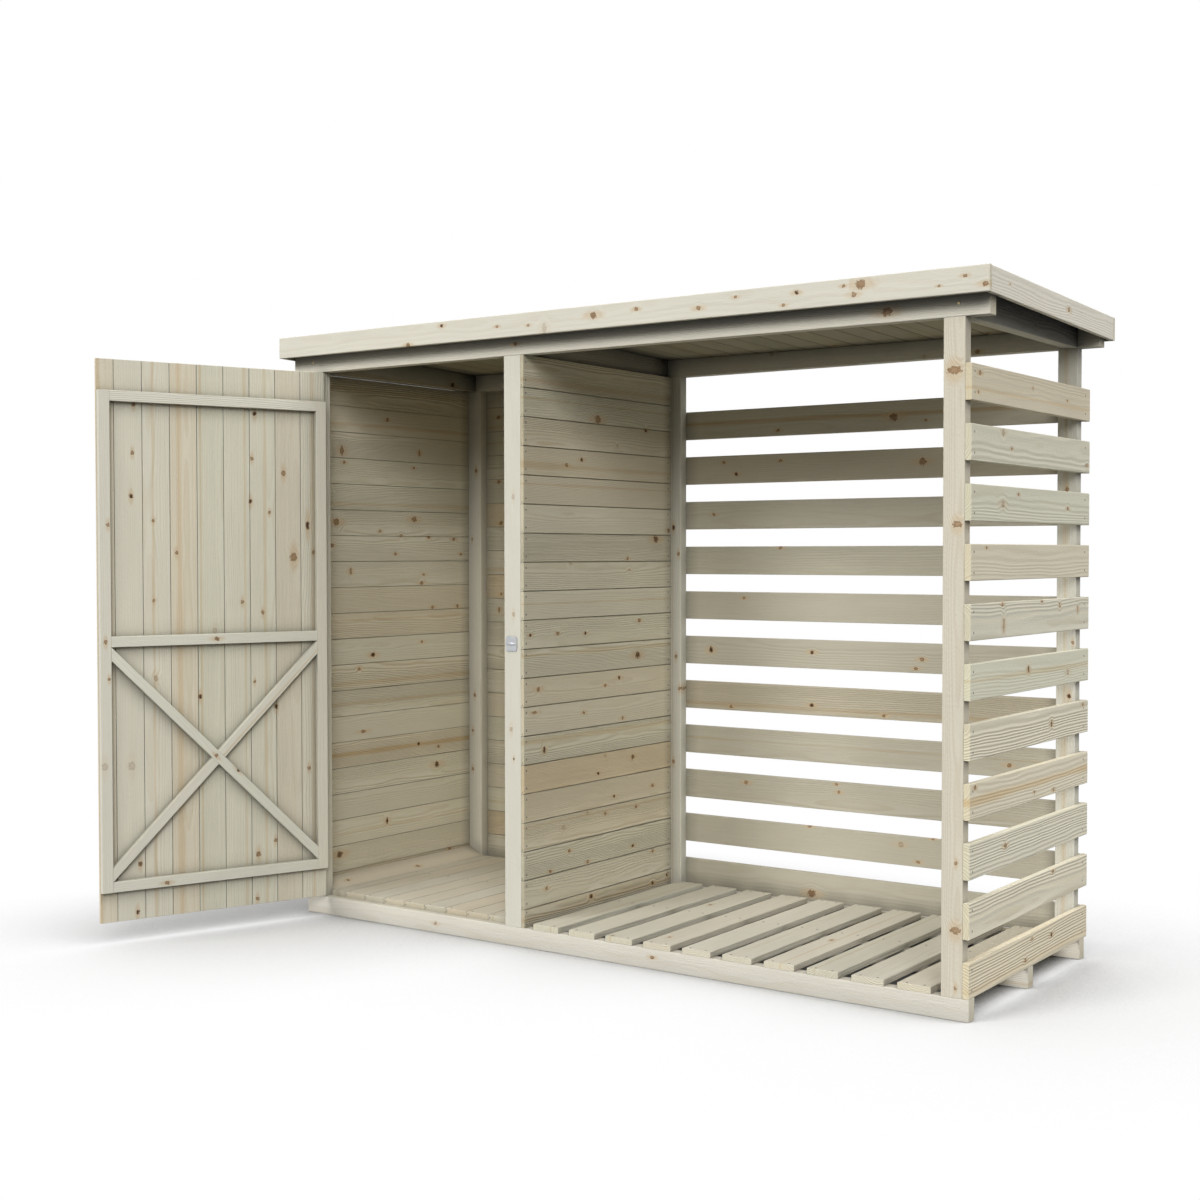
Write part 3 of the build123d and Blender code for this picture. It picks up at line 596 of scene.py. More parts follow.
def softwood(kind, colour=None, ring_share=1.0, line_strength=1.0, pebble=1.0, relief=1.0, painted_shade=1.0,
             reach=1.0):
    """Untreated planed softwood: tinted boards, growth lines, streaks, knots, cut ends and raised grain.

    The kind's own colour is used unless another is named. ring_share, line_strength, pebble and relief
    multiply the ring spacing and the strength of the growth lines, of the pebbled face and of the raised
    grain. The painted shade number is how much darker the colour is painted in a tight corner, as painted
    shade where other faces come near, and reach multiplies how far that painted shade reaches.
    """
    wood = settings("timber")
    material = bpy.data.materials.new(kind + "_timber")
    material.use_nodes = True
    tree = material.node_tree
    n = Nodes(tree)
    shader = tree.nodes["Principled BSDF"]
    grain = n.attribute("grain")
    ages = n.parts(n.attribute("knot_age"))
    squeezes = n.parts(n.attribute("knot_shape"))
    light, warmth, raised = n.parts(n.attribute("tone"))
    place, spread, strength = n.parts(n.attribute("streak"))
    cut = n.attribute("cut_end", "Fac")
    fibres = n.group("Fibres", grain=grain)
    planing = n.group("Planing", grain=grain)
    knots = [n.group("Knot", grain=grain, knot=n.attribute("knot_" + side), age=ages[i],
                     squeeze=squeezes[i], ragged=fibres["Ragged"]) for i, side in enumerate("ab")]

    def both(label):
        return n.math("MAXIMUM", knots[0][label], knots[1][label])

    push = n.math("ADD", knots[0]["Push"], knots[1]["Push"])
    rings = n.group("Growth rings", grain=grain, push=push, spacing=wood.ring_spacing * ring_share,
                    wander=wood.wander)

    def tint(base, amount, value):
        """The base multiplied by a tint, by an amount from 0 to 1."""
        return n.mix(amount, base, tuple(value), "MULTIPLY")

    warmer = n.math("MULTIPLY", n.math("MAXIMUM", warmth, 0.0), 0.6)
    base = tint(tuple(getattr(wood, colour or kind)), warmer, wood.warm)
    cooler = n.math("MULTIPLY", n.math("MAXIMUM", n.math("MULTIPLY", warmth, -1.0), 0.0), 0.6)
    base = tint(base, cooler, wood.cool)
    line = n.math("MULTIPLY", rings["Latewood"], n.math("ADD", 0.25 * line_strength,
                                                       n.math("MULTIPLY", raised, 0.55 * line_strength)))
    base = tint(base, line, wood.line)
    shade = n.math("ADD", 0.94, n.math("MULTIPLY", light, 0.035))
    shade = n.math("ADD", shade, n.math("MULTIPLY", planing["Patches"], 0.10))
    shade = n.math("ADD", shade, n.math("MULTIPLY", n.math("SUBTRACT", fibres["Streaks"], 0.5), 0.12))
    base = n.mix(1.0, base, n.join(shade, shade, shade), "MULTIPLY")

    gx, gy, gz = n.parts(grain)
    aside = n.math("ABSOLUTE", n.math("SUBTRACT", gy, place))
    wobble = n.math("MULTIPLY", n.math("SUBTRACT", planing["Patches"], 0.5), 1.5)
    aside = n.math("ADD", n.math("DIVIDE", aside, spread), wobble)
    base = tint(base, n.math("MULTIPLY", n.ramp(aside, 1.2, 0.2), strength), wood.streak)
    base = n.mix(n.math("MULTIPLY", both("Halo"), 0.50), base, tuple(wood.halo))
    base = n.mix(n.math("MULTIPLY", both("Rim"), 0.80), base, tuple(wood.rim))
    base = n.mix(n.math("MULTIPLY", both("Heart"), 0.72), base, tuple(wood.knot))
    base = n.mix(n.math("MULTIPLY", both("Dark"), 0.92), base, tuple(wood.dead))
    end_colour = tint(tint(base, n.math("MULTIPLY", rings["Latewood"], 0.3), wood.line), 1.0, wood.cut_end)
    base = n.mix(cut, base, end_colour)
    # Painted shade: the colour is darkened where other faces come near, standing for the shade in corners,
    # gaps and joints
    near = n.new("ShaderNodeAmbientOcclusion", {"Distance": wood.painted_shade_reach * reach}, samples=3).outputs["AO"]
    painted_corner_shade = n.ramp(near, 0.42, 1.0, 1.0 - painted_shade, 1.0)
    base = n.mix(1.0, base, n.join(painted_corner_shade, painted_corner_shade, painted_corner_shade), "MULTIPLY")
    tree.links.new(base, shader.inputs["Base Color"])

    rough = n.math("ADD", 0.66, n.math("MULTIPLY", fibres["Ragged"], 0.16))
    rough = n.math("SUBTRACT", rough, n.math("MULTIPLY", both("Heart"), 0.15))
    tree.links.new(rough, shader.inputs["Roughness"])
    shader.inputs["Specular IOR Level"].default_value = 0.25

    height = n.math("MULTIPLY", rings["Relief"], n.math("MULTIPLY", raised, relief))
    height = n.math("ADD", height, n.math("MULTIPLY", planing["Pebble"], 0.55 * pebble))
    height = n.math("ADD", height, n.math("MULTIPLY", fibres["Streaks"], 0.22))
    height = n.math("SUBTRACT", height, n.math("MULTIPLY", both("Rim"), 0.4))
    bump = n.new("ShaderNodeBump", {"Height": height, "Distance": wood.relief, "Strength": 0.9})
    tree.links.new(bump.outputs[0], shader.inputs["Normal"])
    return material


def plated(name, dull, bright, metallic):
    """Plated steel: a metal with faint crystal patches in its colour and roughness."""
    material = bpy.data.materials.new(name)
    material.use_nodes = True
    tree = material.node_tree
    n = Nodes(tree)
    shader = tree.nodes["Principled BSDF"]
    place = n.new("ShaderNodeTexCoord").outputs["Object"]
    crystals = n.new("ShaderNodeTexVoronoi", {"Vector": place, "Scale": 160.0}).outputs["Color"]
    plate = n.mix(n.noise(place, 35.0), dull, bright)
    tree.links.new(n.mix(0.12, plate, crystals, "SOFT_LIGHT"), shader.inputs["Base Color"])
    tree.links.new(n.ramp(n.noise(place, 90.0, 3.0), 0.3, 0.7, 0.34, 0.52), shader.inputs["Roughness"])
    scratches = n.noise(place, 700.0, 2.0)
    bump = n.new("ShaderNodeBump", {"Height": scratches, "Distance": 0.0001, "Strength": 0.3})
    tree.links.new(bump.outputs[0], shader.inputs["Normal"])
    shader.inputs["Metallic"].default_value = metallic
    return material


def felt():
    """Mineral roofing felt: charcoal bitumen set with paler slate grit."""
    material = bpy.data.materials.new("mineral_felt")
    material.use_nodes = True
    tree = material.node_tree
    n = Nodes(tree)
    shader = tree.nodes["Principled BSDF"]
    place = n.new("ShaderNodeTexCoord").outputs["Object"]
    grit = n.new("ShaderNodeTexVoronoi", {"Vector": place, "Scale": 620.0})
    speck = n.ramp(n.parts(grit.outputs["Color"])[0], 0.35, 0.9)
    worn = n.noise(place, 3.0, 4.0)
    base = n.mix(speck, (0.035, 0.038, 0.036), (0.16, 0.17, 0.16))
    base = n.mix(n.ramp(worn, 0.45, 0.7, 0.0, 0.35), base, (0.10, 0.105, 0.10))
    tree.links.new(base, shader.inputs["Base Color"])
    tree.links.new(n.ramp(speck, 0.0, 1.0, 0.95, 0.75), shader.inputs["Roughness"])
    height = n.math("ADD", n.ramp(grit.outputs["Distance"], 0.6, 0.0), n.math("MULTIPLY", worn, 0.6))
    bump = n.new("ShaderNodeBump", {"Height": height, "Distance": 0.0012, "Strength": 0.8})
    tree.links.new(bump.outputs[0], shader.inputs["Normal"])
    return material


# How each timber differs from plain softwood, with the depth and reach of its painted shade in corners
WOODS = {
    "framing": dict(line_strength=0.6, pebble=1.5, relief=0.6, painted_shade=0.45),
    "rail": dict(colour="framing", line_strength=0.8, pebble=1.2, relief=0.8, painted_shade=0.70),
    "side_rail": dict(colour="framing", line_strength=0.8, pebble=1.2, relief=0.8, reach=2.2),
    "batten": dict(line_strength=0.5, relief=0.5, painted_shade=0.3),
    "bearer": dict(line_strength=0.5, pebble=1.3, relief=0.5, painted_shade=0.25),
    "slat": dict(ring_share=1.3, line_strength=0.55, pebble=0.8, painted_shade=0.6),
    "fascia": dict(colour="slat", ring_share=1.3, line_strength=0.30, pebble=0.8, relief=0.35, painted_shade=0.9),
    "bay": dict(ring_share=1.3, line_strength=0.6, pebble=0.8, relief=1.2, painted_shade=0.5),
    "side": dict(ring_share=1.75, line_strength=0.55, pebble=0.8, relief=1.3, painted_shade=0.5),
    "wall": dict(line_strength=0.8, relief=1.7, painted_shade=0.5),
    "door": dict(ring_share=1.1, line_strength=0.6, pebble=1.6, relief=0.9, painted_shade=0.7),
    "roof": dict(ring_share=1.1, line_strength=0.9, relief=0.8, reach=1.6),
}
METALS = {
    "zinc": dict(name="zinc_plating", dull=(0.40, 0.41, 0.43), bright=(0.56, 0.57, 0.59), metallic=0.75),
    # Nail heads: partly the dull iron's own dark grey, partly painted shade of a head sunk below the face
    "nail": dict(name="dull_nail", dull=(0.22, 0.20, 0.17), bright=(0.32, 0.29, 0.25), metallic=0.3),
    "brass": dict(name="yellow_screw", dull=(0.55, 0.43, 0.24), bright=(0.68, 0.55, 0.33), metallic=0.7),
}
FINISHES = {}


def finish_of(kind):
    """One of the materials, made when it is first asked for."""
    if kind not in FINISHES:
        if kind in WOODS:
            FINISHES[kind] = softwood(kind, **WOODS[kind])
        else:
            FINISHES[kind] = plated(**METALS[kind]) if kind in METALS else felt()
    return FINISHES[kind]


Seen = namedtuple("Seen", "right down radius age squeeze", defaults=(1.0,))
Added = namedtuple("Added", "along up radius age squeeze", defaults=(1.0,))

# Knots that show, read off the photograph: how far right and down their middles lie in it, in its
# pixels, their radius in millimetres, their age, and their squeeze along the grain where they are not round
SEEN_KNOTS = {
    "front_fascia": (
        Seen(860, 283.5, 11, 0.6), Seen(852.5, 294.5, 6, 0.4), Seen(796, 293, 5, 1), Seen(845, 286, 4, 0.5),
        Seen(699, 308.5, 6, 0.5), Seen(636, 308.5, 5, 0.5), Seen(592.5, 314.5, 9, 0.7),
        Seen(735, 298, 4, 0.5), Seen(442.7, 325.4, 5, 1), Seen(408.5, 344.5, 6, 0.7),
        Seen(528, 326, 4, 0.3), Seen(544, 328, 9, 0.1, 1.5), Seen(496, 327, 4, 0.4), Seen(964, 275, 4, 0.6),
        Seen(938, 286, 3, 0.4), Seen(785, 305, 4, 0.4),),
    "front_rail": (
        Seen(886, 311, 11, 0.5), Seen(515.5, 344, 5, 0.5),),
    "right_fascia": (
        Seen(1068.6, 308.8, 6, 0.5),),
    "partition_boards": (
        Seen(598.5, 419.5, 12, 0.6), Seen(646.4, 430.4, 6, 1), Seen(582, 460, 6, 1),
        Seen(566.4, 464.4, 6, 0.5), Seen(618, 445.6, 5, 0.1), Seen(655, 539.6, 12, 0.8),
        Seen(669, 531, 6, 1), Seen(628, 558.4, 5, 0.5), Seen(628.6, 569.6, 5, 0.2), Seen(570, 563, 6, 0.1),
        Seen(639, 620, 6, 0.6), Seen(585, 633, 5, 1), Seen(558, 634, 5, 0.5), Seen(531, 635, 5, 1),
        Seen(637, 655, 11, 0.9), Seen(619.5, 678, 6, 1), Seen(604.5, 685.5, 5, 0.6), Seen(538, 690, 7, 0.5),
        Seen(535, 712, 6, 0.4, 0.7), Seen(583, 713, 5, 0.5), Seen(622.5, 717.5, 5, 0.6),
        Seen(544.5, 750, 7, 1, 1.5), Seen(633, 756, 7, 0.8), Seen(606, 756, 6, 0.1), Seen(598.5, 773, 5, 1),
        Seen(652, 786, 6, 0.6), Seen(614, 797, 5, 1), Seen(636, 806, 5, 0.5), Seen(606, 813, 5, 0.4),
        Seen(563, 827, 8, 0.1), Seen(588, 812, 7, 0.1), Seen(632, 846, 6, 1), Seen(569, 851, 5, 0.6),
        Seen(587, 862, 5, 0.6), Seen(652, 851, 5, 0.6), Seen(550, 872, 5, 0.6), Seen(546, 888, 5, 0.5),
        Seen(591, 896, 7, 1), Seen(652, 883, 6, 1), Seen(667, 875, 5, 1),),
    "left_wall_boards": (
        Seen(342.3, 450, 10, 0.5, 1.4), Seen(418.5, 453, 7, 0.5, 1.4), Seen(344, 463, 5, 0.5),
        Seen(413.5, 468.5, 5, 0.6), Seen(387.7, 420, 6, 0.5), Seen(336.5, 522, 11, 0.6),
        Seen(413.5, 520, 10, 0.6), Seen(332, 545, 6, 0.5), Seen(396, 554, 5, 0.6), Seen(428, 537, 5, 0.6),
        Seen(402, 536, 5, 0.3), Seen(453.8, 539, 6, 0.5), Seen(460.8, 554, 5, 0.6),
        Seen(381, 531.5, 4, 0.5), Seen(350, 572, 7, 0.4, 1.5), Seen(421.5, 583, 6, 0.6),
        Seen(424, 574, 5, 0.4), Seen(433, 607, 6, 0.5), Seen(457.7, 606.5, 6, 0.5), Seen(372.5, 655, 8, 1),
        Seen(359.6, 668.5, 5, 0.5), Seen(422, 642, 5, 0.5), Seen(364, 731.5, 7, 0.5, 0.7),
        Seen(419.5, 743.5, 6, 1), Seen(439, 746, 5, 0.5), Seen(437.5, 763.5, 10, 0.9),
        Seen(387.5, 821, 7, 1, 1.4), Seen(340, 854, 11, 0.8), Seen(450, 849, 6, 0.5),),
    "back_wall_boards": (
        Seen(499.5, 417, 6, 0.5), Seen(499.7, 482, 6, 0.5), Seen(501, 523, 6, 0.6), Seen(501, 594, 5, 0.5),
        Seen(498.5, 609.5, 6, 0.5, 1.5),),
    "back_middle_post": (
        Seen(673, 528, 6, 1), Seen(677.6, 553.4, 5, 0.5), Seen(675, 656, 5, 0.5), Seen(673, 761, 5, 0.5),),
    "back_left_post": (
        Seen(477, 471, 6, 0.6), Seen(474, 695, 5, 0.5), Seen(473.5, 730.5, 5, 0.5), Seen(472, 769, 5, 0.5),
        Seen(473, 539, 4, 0.4),),
    "back_right_post": (
        Seen(1070, 697, 6, 1), Seen(1074, 643, 4, 0.4),),
    "front_middle_post": (
        Seen(513.5, 496.5, 6, 0.1), Seen(512.5, 613.5, 5, 0.2), Seen(510, 730, 6, 0.2),
        Seen(514.5, 759, 3, 1),),
    "front_right_post": (
        Seen(956, 371, 12, 0.5, 1.5), Seen(958.5, 525, 9, 0.4, 1.4), Seen(956, 930, 10, 0.4, 1.4),
        Seen(954.2, 988, 4, 0.4), Seen(954, 863, 4, 0.4),),
    "side_slats": (
        Seen(980.8, 373, 6, 0.5), Seen(978.5, 391.5, 4, 0.5), Seen(1032.5, 388, 4, 0.3),
        Seen(1067, 400, 4, 0.4), Seen(1003.3, 433, 8, 0.2), Seen(1011.8, 448.5, 4, 0.5),
        Seen(1086.7, 466, 5, 0.5), Seen(1003, 505, 9, 0.2), Seen(1018.5, 495, 4, 0.5),
        Seen(1068, 508, 5, 0.5), Seen(987, 547, 4, 0.5), Seen(1002.5, 605, 5, 0.5),
        Seen(1003.5, 624, 9, 0.3, 1.9), Seen(1059.5, 606, 6, 0.3, 1.5), Seen(1078, 609, 6, 0.4, 1.5),
        Seen(1042, 601, 4, 0.5), Seen(1029, 669, 7, 0.8, 1.4), Seen(1068, 672, 8, 0.2),
        Seen(1051.5, 724, 7, 0.8, 1.4), Seen(1083, 705, 5, 0.5), Seen(975.5, 788, 6, 0.5),
        Seen(1053, 790, 5, 0.5), Seen(1034, 792, 4, 0.4), Seen(1005.8, 846, 7, 0.4),
        Seen(1052.5, 872, 5, 0.5), Seen(1051.7, 934.5, 6, 1), Seen(1025.5, 959.7, 5, 0.6),
        Seen(1032.5, 939, 4, 0.5),),
    "back_slats": (
        Seen(895, 417, 11, 0.7), Seen(777.5, 431, 5, 0.5), Seen(927, 420, 4, 0.5), Seen(737, 474, 6, 1),
        Seen(924, 461.5, 10, 0.6), Seen(725, 463, 5, 0.5), Seen(780, 461, 5, 0.5), Seen(714, 514.5, 5, 0.5),
        Seen(780, 547.5, 5, 0.5), Seen(745, 597.5, 5, 0.5), Seen(711, 650, 8, 1, 1.4), Seen(813, 653, 6, 1),
        Seen(921.5, 659, 6, 0.5), Seen(916, 669, 5, 0.5), Seen(912, 642.5, 5, 0.3), Seen(813, 705, 6, 1),
        Seen(884, 715, 5, 0.5), Seen(792, 684.5, 5, 0.4), Seen(731, 706, 5, 0.5), Seen(746, 782, 6, 0.5),
        Seen(839, 792.5, 5, 0.5), Seen(837, 784, 4, 0.5), Seen(810, 826, 6, 0.6), Seen(902, 845, 8, 0.2),
        Seen(934, 839, 5, 0.5), Seen(918, 861.5, 5, 0.5), Seen(812, 893, 11, 0.7),),
    "door_boards": (
        Seen(134, 404.6, 5, 0.5), Seen(253.8, 413.5, 6, 1), Seen(131.5, 452.7, 5, 0.5),
        Seen(251.5, 458.5, 5, 0.5), Seen(283, 473, 7, 0.5), Seen(131.5, 496.5, 6, 1), Seen(251, 501, 6, 1),
        Seen(269.6, 512.7, 4, 0.5), Seen(152.5, 520.4, 4, 0.5), Seen(307.8, 526, 9, 1, 0.7),
        Seen(176.5, 552.5, 5, 0.5), Seen(293.8, 557.3, 11, 0.6), Seen(313.5, 553, 5, 0.5),
        Seen(242.7, 601.5, 5, 0.5), Seen(153.8, 601, 4, 0.5), Seen(263, 613, 5, 0.5),
        Seen(214.6, 631, 7, 0.1), Seen(200, 697.5, 6, 1), Seen(156, 679, 7, 0.2), Seen(276, 706, 6, 1),
        Seen(254.5, 682, 4, 0.5), Seen(131.5, 766, 11, 0.1), Seen(309.5, 767.5, 5, 0.5),
        Seen(276, 841, 5, 0.5), Seen(259, 854, 7, 0.6), Seen(140, 864, 6, 0.8), Seen(257, 898, 5, 0.5),
        Seen(138, 912, 6, 1),),
    "door_battens": (
        Seen(107, 525, 5, 0.4), Seen(109, 679, 4, 0.5), Seen(105, 767, 9, 0.1), Seen(216.4, 755.5, 5, 0.5),
        Seen(238.5, 769.5, 6, 1), Seen(167, 883.5, 6, 0.6), Seen(217, 639, 6, 0.7),),
    "tool_store_floor": (
        Seen(419, 884, 5, 0.5), Seen(454, 891, 6, 0.5), Seen(485, 880, 5, 0.5), Seen(491, 900, 5, 0.5),
        Seen(493, 906.5, 4, 0.5),),
    "log_store_floor": (
        Seen(670, 937, 5, 0.5), Seen(711, 905, 6, 0.5), Seen(613, 935.5, 4, 0.4),),
    "front_bearer": (
        Seen(651, 957, 5, 0.5),),
}

# Knots made up where the photograph shows none clearly, or moved so that they lie well on their timber, by
# their places on the object in metres: x or y and the height, x and y on floors, and the distance along the
# door's width and the height on its battens
ADDED_KNOTS = {
    "front_fascia": (
        Added(1.245, 1.885, 6, 0.6),),
    "right_fascia": (
        Added(-0.35, 1.9, 3, 0.3),),
    "back_wall_boards": (
        Added(-0.88, 1.35, 6, 0.5), Added(-0.62, 1.62, 7, 0.6), Added(-0.45, 0.93, 6, 0.5),
        Added(-0.8, 0.66, 8, 0.7), Added(-0.52, 0.38, 6, 0.5), Added(-0.95, 0.28, 5, 0.4),
        Added(-0.38, 1.27, 5, 0.9),),
    "back_middle_post": (
        Added(-0.225, 0.745, 5, 0.5),),
    "back_right_post": (
        Added(1.14, 1.4, 5, 0.5),),
    "front_left_post": (
        Added(-1.14, 1.3, 6, 0.3), Added(-1.13, 0.62, 5, 0.5),),
    "back_slats": (
        Added(1.02, 1.33, 6, 0.5), Added(0.95, 0.56, 6, 0.6),),
    "door_battens": (
        Added(0.745, 0.94, 5, 0.5),),
    "tool_store_floor": (
        Added(-1.13, -0.3, 5, 0.5), Added(-1.12, 0.05, 6, 0.6),),
    "log_store_floor": (
        Added(0.62, -0.1, 6, 0.5),),
    "front_bearer": (
        Added(-0.62, 0.03, 5, 0.3),),
}

# How warm single boards are, counted upwards
WARM_BOARDS = {
    "side_slats": dict(enumerate((0.9, 0.3, -0.2, 0.6, 0.3, -0.8, 0.0, 0.6, -0.8, -0.3, 0.9))),
    "back_slats": {4: 0.6, 7: -0.4, 9: 0.5},
    "partition_boards": {5: 1.5, 4: 0.7, 12: -0.3},
    "left_wall_boards": {5: 0.5, 9: -0.3},
    "back_wall_boards": {14: 1.5, 11: 1.5, 1: 1.5},
}
# Painted light and shade on the slats: how much lighter in tone the lowest slat is painted than one above
# the top one would be, as painted light low on the side slats; below zero it is painted darker, as painted
# shade low on the back slats
PAINTED_LIGHT_BELOW = {"side_slats": 4.0, "back_slats": -4.0}
# Lightness and warmth of single fascias
FASCIA_TONES = {"right_fascia": (3.5, 0.0)}
# Resin streaks of single boards, counted upwards or from the hinge: the place beside the board's middle,
# the half width and the strength
STREAKS = {
    "side_slats": {3: (0.0, 0.016, 0.8), 0: (-0.03, 0.008, 0.3)},
    "back_slats": {10: (0.005, 0.010, 0.9)},
    "left_wall_boards": {5: (0.0, 0.010, 0.9)},
    "door_boards": {6: (0.010, 0.006, 0.5), 4: (0.033, 0.005, 0.6), 0: (0.0, 0.008, 0.5),
                    3: (-0.027, 0.006, 0.5)},
}


def camera_axes(stage):
    """The camera's right, up and forward: level axes turned about Z, then tilted, then rolled."""
    turn, tilt, roll = stage.camera_turn, stage.camera_tilt, stage.camera_roll
    level = Y_AXIS * math.cos(turn) - X_AXIS * math.sin(turn)
    right = X_AXIS * math.cos(turn) + Y_AXIS * math.sin(turn)
    forward = level * math.cos(tilt) + Z_AXIS * math.sin(tilt)
    up = Z_AXIS * math.cos(tilt) - level * math.sin(tilt)
    rolled_right = right * math.cos(roll) + up * math.sin(roll)
    return rolled_right, up * math.cos(roll) - right * math.sin(roll), forward


def seen_place(knot, face, normal):
    """Where the sight line through a knot in the photograph meets the plane of the face.

    The line is the camera's place plus t times the sum of its forward axis and the knot's offset from the
    photograph's middle, to the right and down, over the focal length in pixels.
    """
    stage = settings("stage")
    camera = np.array(stage.camera_place)
    right, up, forward = camera_axes(stage)
    middle, focal = PHOTO_WIDTH / 2, stage.lens / SENSOR_WIDTH * PHOTO_WIDTH
    sight = forward + (right * (knot.right - middle) - up * (knot.down - middle)) / focal
    return camera + sight * ((face - camera) @ normal) / (sight @ normal)


def knots_of(piece, origin, face, along, up=Z_AXIS, steps=(READ_LEVEL, READ_FINE)):
    """The piece's knots as (place, radius, age, squeeze), or None where it has none of its own.

    A place is origin plus along times a first distance plus up times a second. A seen knot's distances are
    those of its place on the face that the photograph shows, rounded to the steps at which it is read.
    """
    if piece not in SEEN_KNOTS and piece not in ADDED_KNOTS:
        return None
    found = list(ADDED_KNOTS.get(piece, ()))
    for knot in SEEN_KNOTS.get(piece, ()):
        offset = seen_place(knot, face, np.cross(along, up)) - origin
        distances = [round(offset @ axis / step) * step for axis, step in zip((along, up), steps)]
        found.append(Added(*distances, knot.radius, knot.age, knot.squeeze))
    return [(origin + along * knot.along + up * knot.up, knot.radius * MILLIMETRE, knot.age, knot.squeeze)
            for knot in found]


def node_knots(node, along, up=Z_AXIS, face=None):
    """The knots of a CAD node, in the middle of its thickness, seen on its side nearer the camera."""
    low, high = box_of(node)
    middle = (low + high) / 2
    if face is None:
        face = np.where(np.array(settings("stage").camera_place) > middle, high, low)
    steps = (READ_LEVEL, READ_FINE if up[2] else READ_LEVEL)
    return knots_of(node, middle * (1 - along - up), face, along, up, steps)


def whole_timber(node, name, run, slot, kind):
    """A piece of one planed timber that fills its CAD node's box, its run along one axis."""
    timbers = Timbers(name)
    box_timber(timbers, *box_of(node), run, knots=node_knots(node, X_AXIS))
    timbers.build("store", slot, finish_of(kind), node)


class LOGSTORE_OT_base(Operator):
    """Three bearers, the cupboard's close floor and the log bay's spaced floor boards"""
    bl_idname = "log_store.base"
    bl_label = "Base and floors"

    def execute(self, context):
        boards = settings("boards")
        for node in ("front_bearer", "middle_bearer", "back_bearer"):
            whole_timber(node, node + "_timber", 0, "sawn_softwood", "bearer")

        low, high = box_of("log_store_floor")
        floor_top = high[2]
        pitch = (high[0] - low[0] - boards.slat_width) / (boards.floor_slats - 1)
        timbers = Timbers("log_floor_boards")
        for i in range(boards.floor_slats):
            left = low + X_AXIS * pitch * i
            right = high.copy()
            right[0] = left[0] + boards.slat_width
            box_timber(timbers, left, right, 1, knots=node_knots("log_store_floor", X_AXIS, Y_AXIS))
        timbers.build("store", "planed_board", finish_of("slat"), "log_store_floor")

        low, high = box_of("tool_store_floor")
        thick = floor_top - low[2]
        knots = node_knots("tool_store_floor", X_AXIS, Y_AXIS, face=Z_AXIS * floor_top)
        timbers = Timbers("tool_floor_boards")
        edges = joints_between(low[0] + boards.floor_start, high[0], boards.floor_joint, boards.floor_pitch)
        origin, depth = (0, low[1], floor_top), high[1] - low[1]
        board_panel(timbers, edges, origin, X_AXIS, Y_AXIS, thick, depth, knots=knots)
        self.leaning_board(timbers, low, high, thick, knots)
        timbers.build("store", "planed_board", finish_of("slat"), "tool_store_floor")
        return {"FINISHED"}

    def leaning_board(self, timbers, low, high, thick, knots):
        """The board against the left wall's foot: a rectangle sheared so that its edges stay upright."""
        boards = settings("boards")
        width = boards.floor_start - 0.001
        outline = eased_rectangle(width, thick, boards.ease)
        outline[:, 1] += outline[:, 0] * boards.fillet_rise / width
        height = low[2] + (thick + boards.fillet_rise) / 2
        start = np.array([low[0] + width / 2, box_of("front_left_post")[1][1], height])
        end = np.array([start[0], high[1], height])
        timbers.add(start, end, X_AXIS, outline, knots=knots)


class LOGSTORE_OT_posts(Operator):
    """Six posts that stand on the base"""
    bl_idname = "log_store.posts"
    bl_label = "Posts"

    def execute(self, context):
        for side in ("left", "middle", "right"):
            for row in ("front", "back"):
                node = f"{row}_{side}_post"
                whole_timber(node, node + "_timber", 2, "sawn_softwood", "framing")
        return {"FINISHED"}


class LOGSTORE_OT_rails(Operator):
    """Front and back roof rails, and the three tapered side rails between them"""
    bl_idname = "log_store.rails"
    bl_label = "Roof rails"

    def execute(self, context):
        fall = roof_fall()
        ease = settings("boards").ease
        for node in ("front_rail", "back_rail"):
            low, high = box_of(node)
            middle, size = (low + high) / 2, high - low
            outline = eased_rectangle(size[2], size[1], ease)
            bevel = np.maximum(outline[:, 0], 0) / (size[2] / 2)
            outline[:, 0] -= bevel * (outline[:, 1] + size[1] / 2) * fall
            start, end = middle.copy(), middle.copy()
            start[0], end[0] = low[0], high[0]
            timbers = Timbers(node + "_timber")
            outline[:, 1] *= -1
            timbers.add(start, end, Z_AXIS, outline[::-1], knots=node_knots(node, X_AXIS))
            timbers.build("store", "sawn_softwood", finish_of("rail"), node)
        for side in ("left", "middle", "right"):
            node = side + "_side_rail"
            low, high = box_of(node)
            height = high[2] - low[2]
            drop = fall * (high[1] - low[1])
            near = eased_rectangle(height, high[0] - low[0], ease)
            far = near.copy()
            far[:, 0] += np.where(near[:, 0] > 0, -drop / 2, drop / 2)
            x = (low[0] + high[0]) / 2
            start = np.array([x, low[1], low[2] + height / 2])
            end = np.array([x, high[1], low[2] + (height - drop) / 2])
            lean = drop / 2 / (high[1] - low[1])
            timbers = Timbers(node + "_timber")
            along = (end - start) / np.linalg.norm(end - start)
            across = np.cross(np.cross(along, Z_AXIS), along)
            across /= np.linalg.norm(across)
            timbers.add(start, end, across, near, far, mitre=(lean, lean))
            timbers.build("store", "sawn_softwood", finish_of("side_rail"), node)
        return {"FINISHED"}


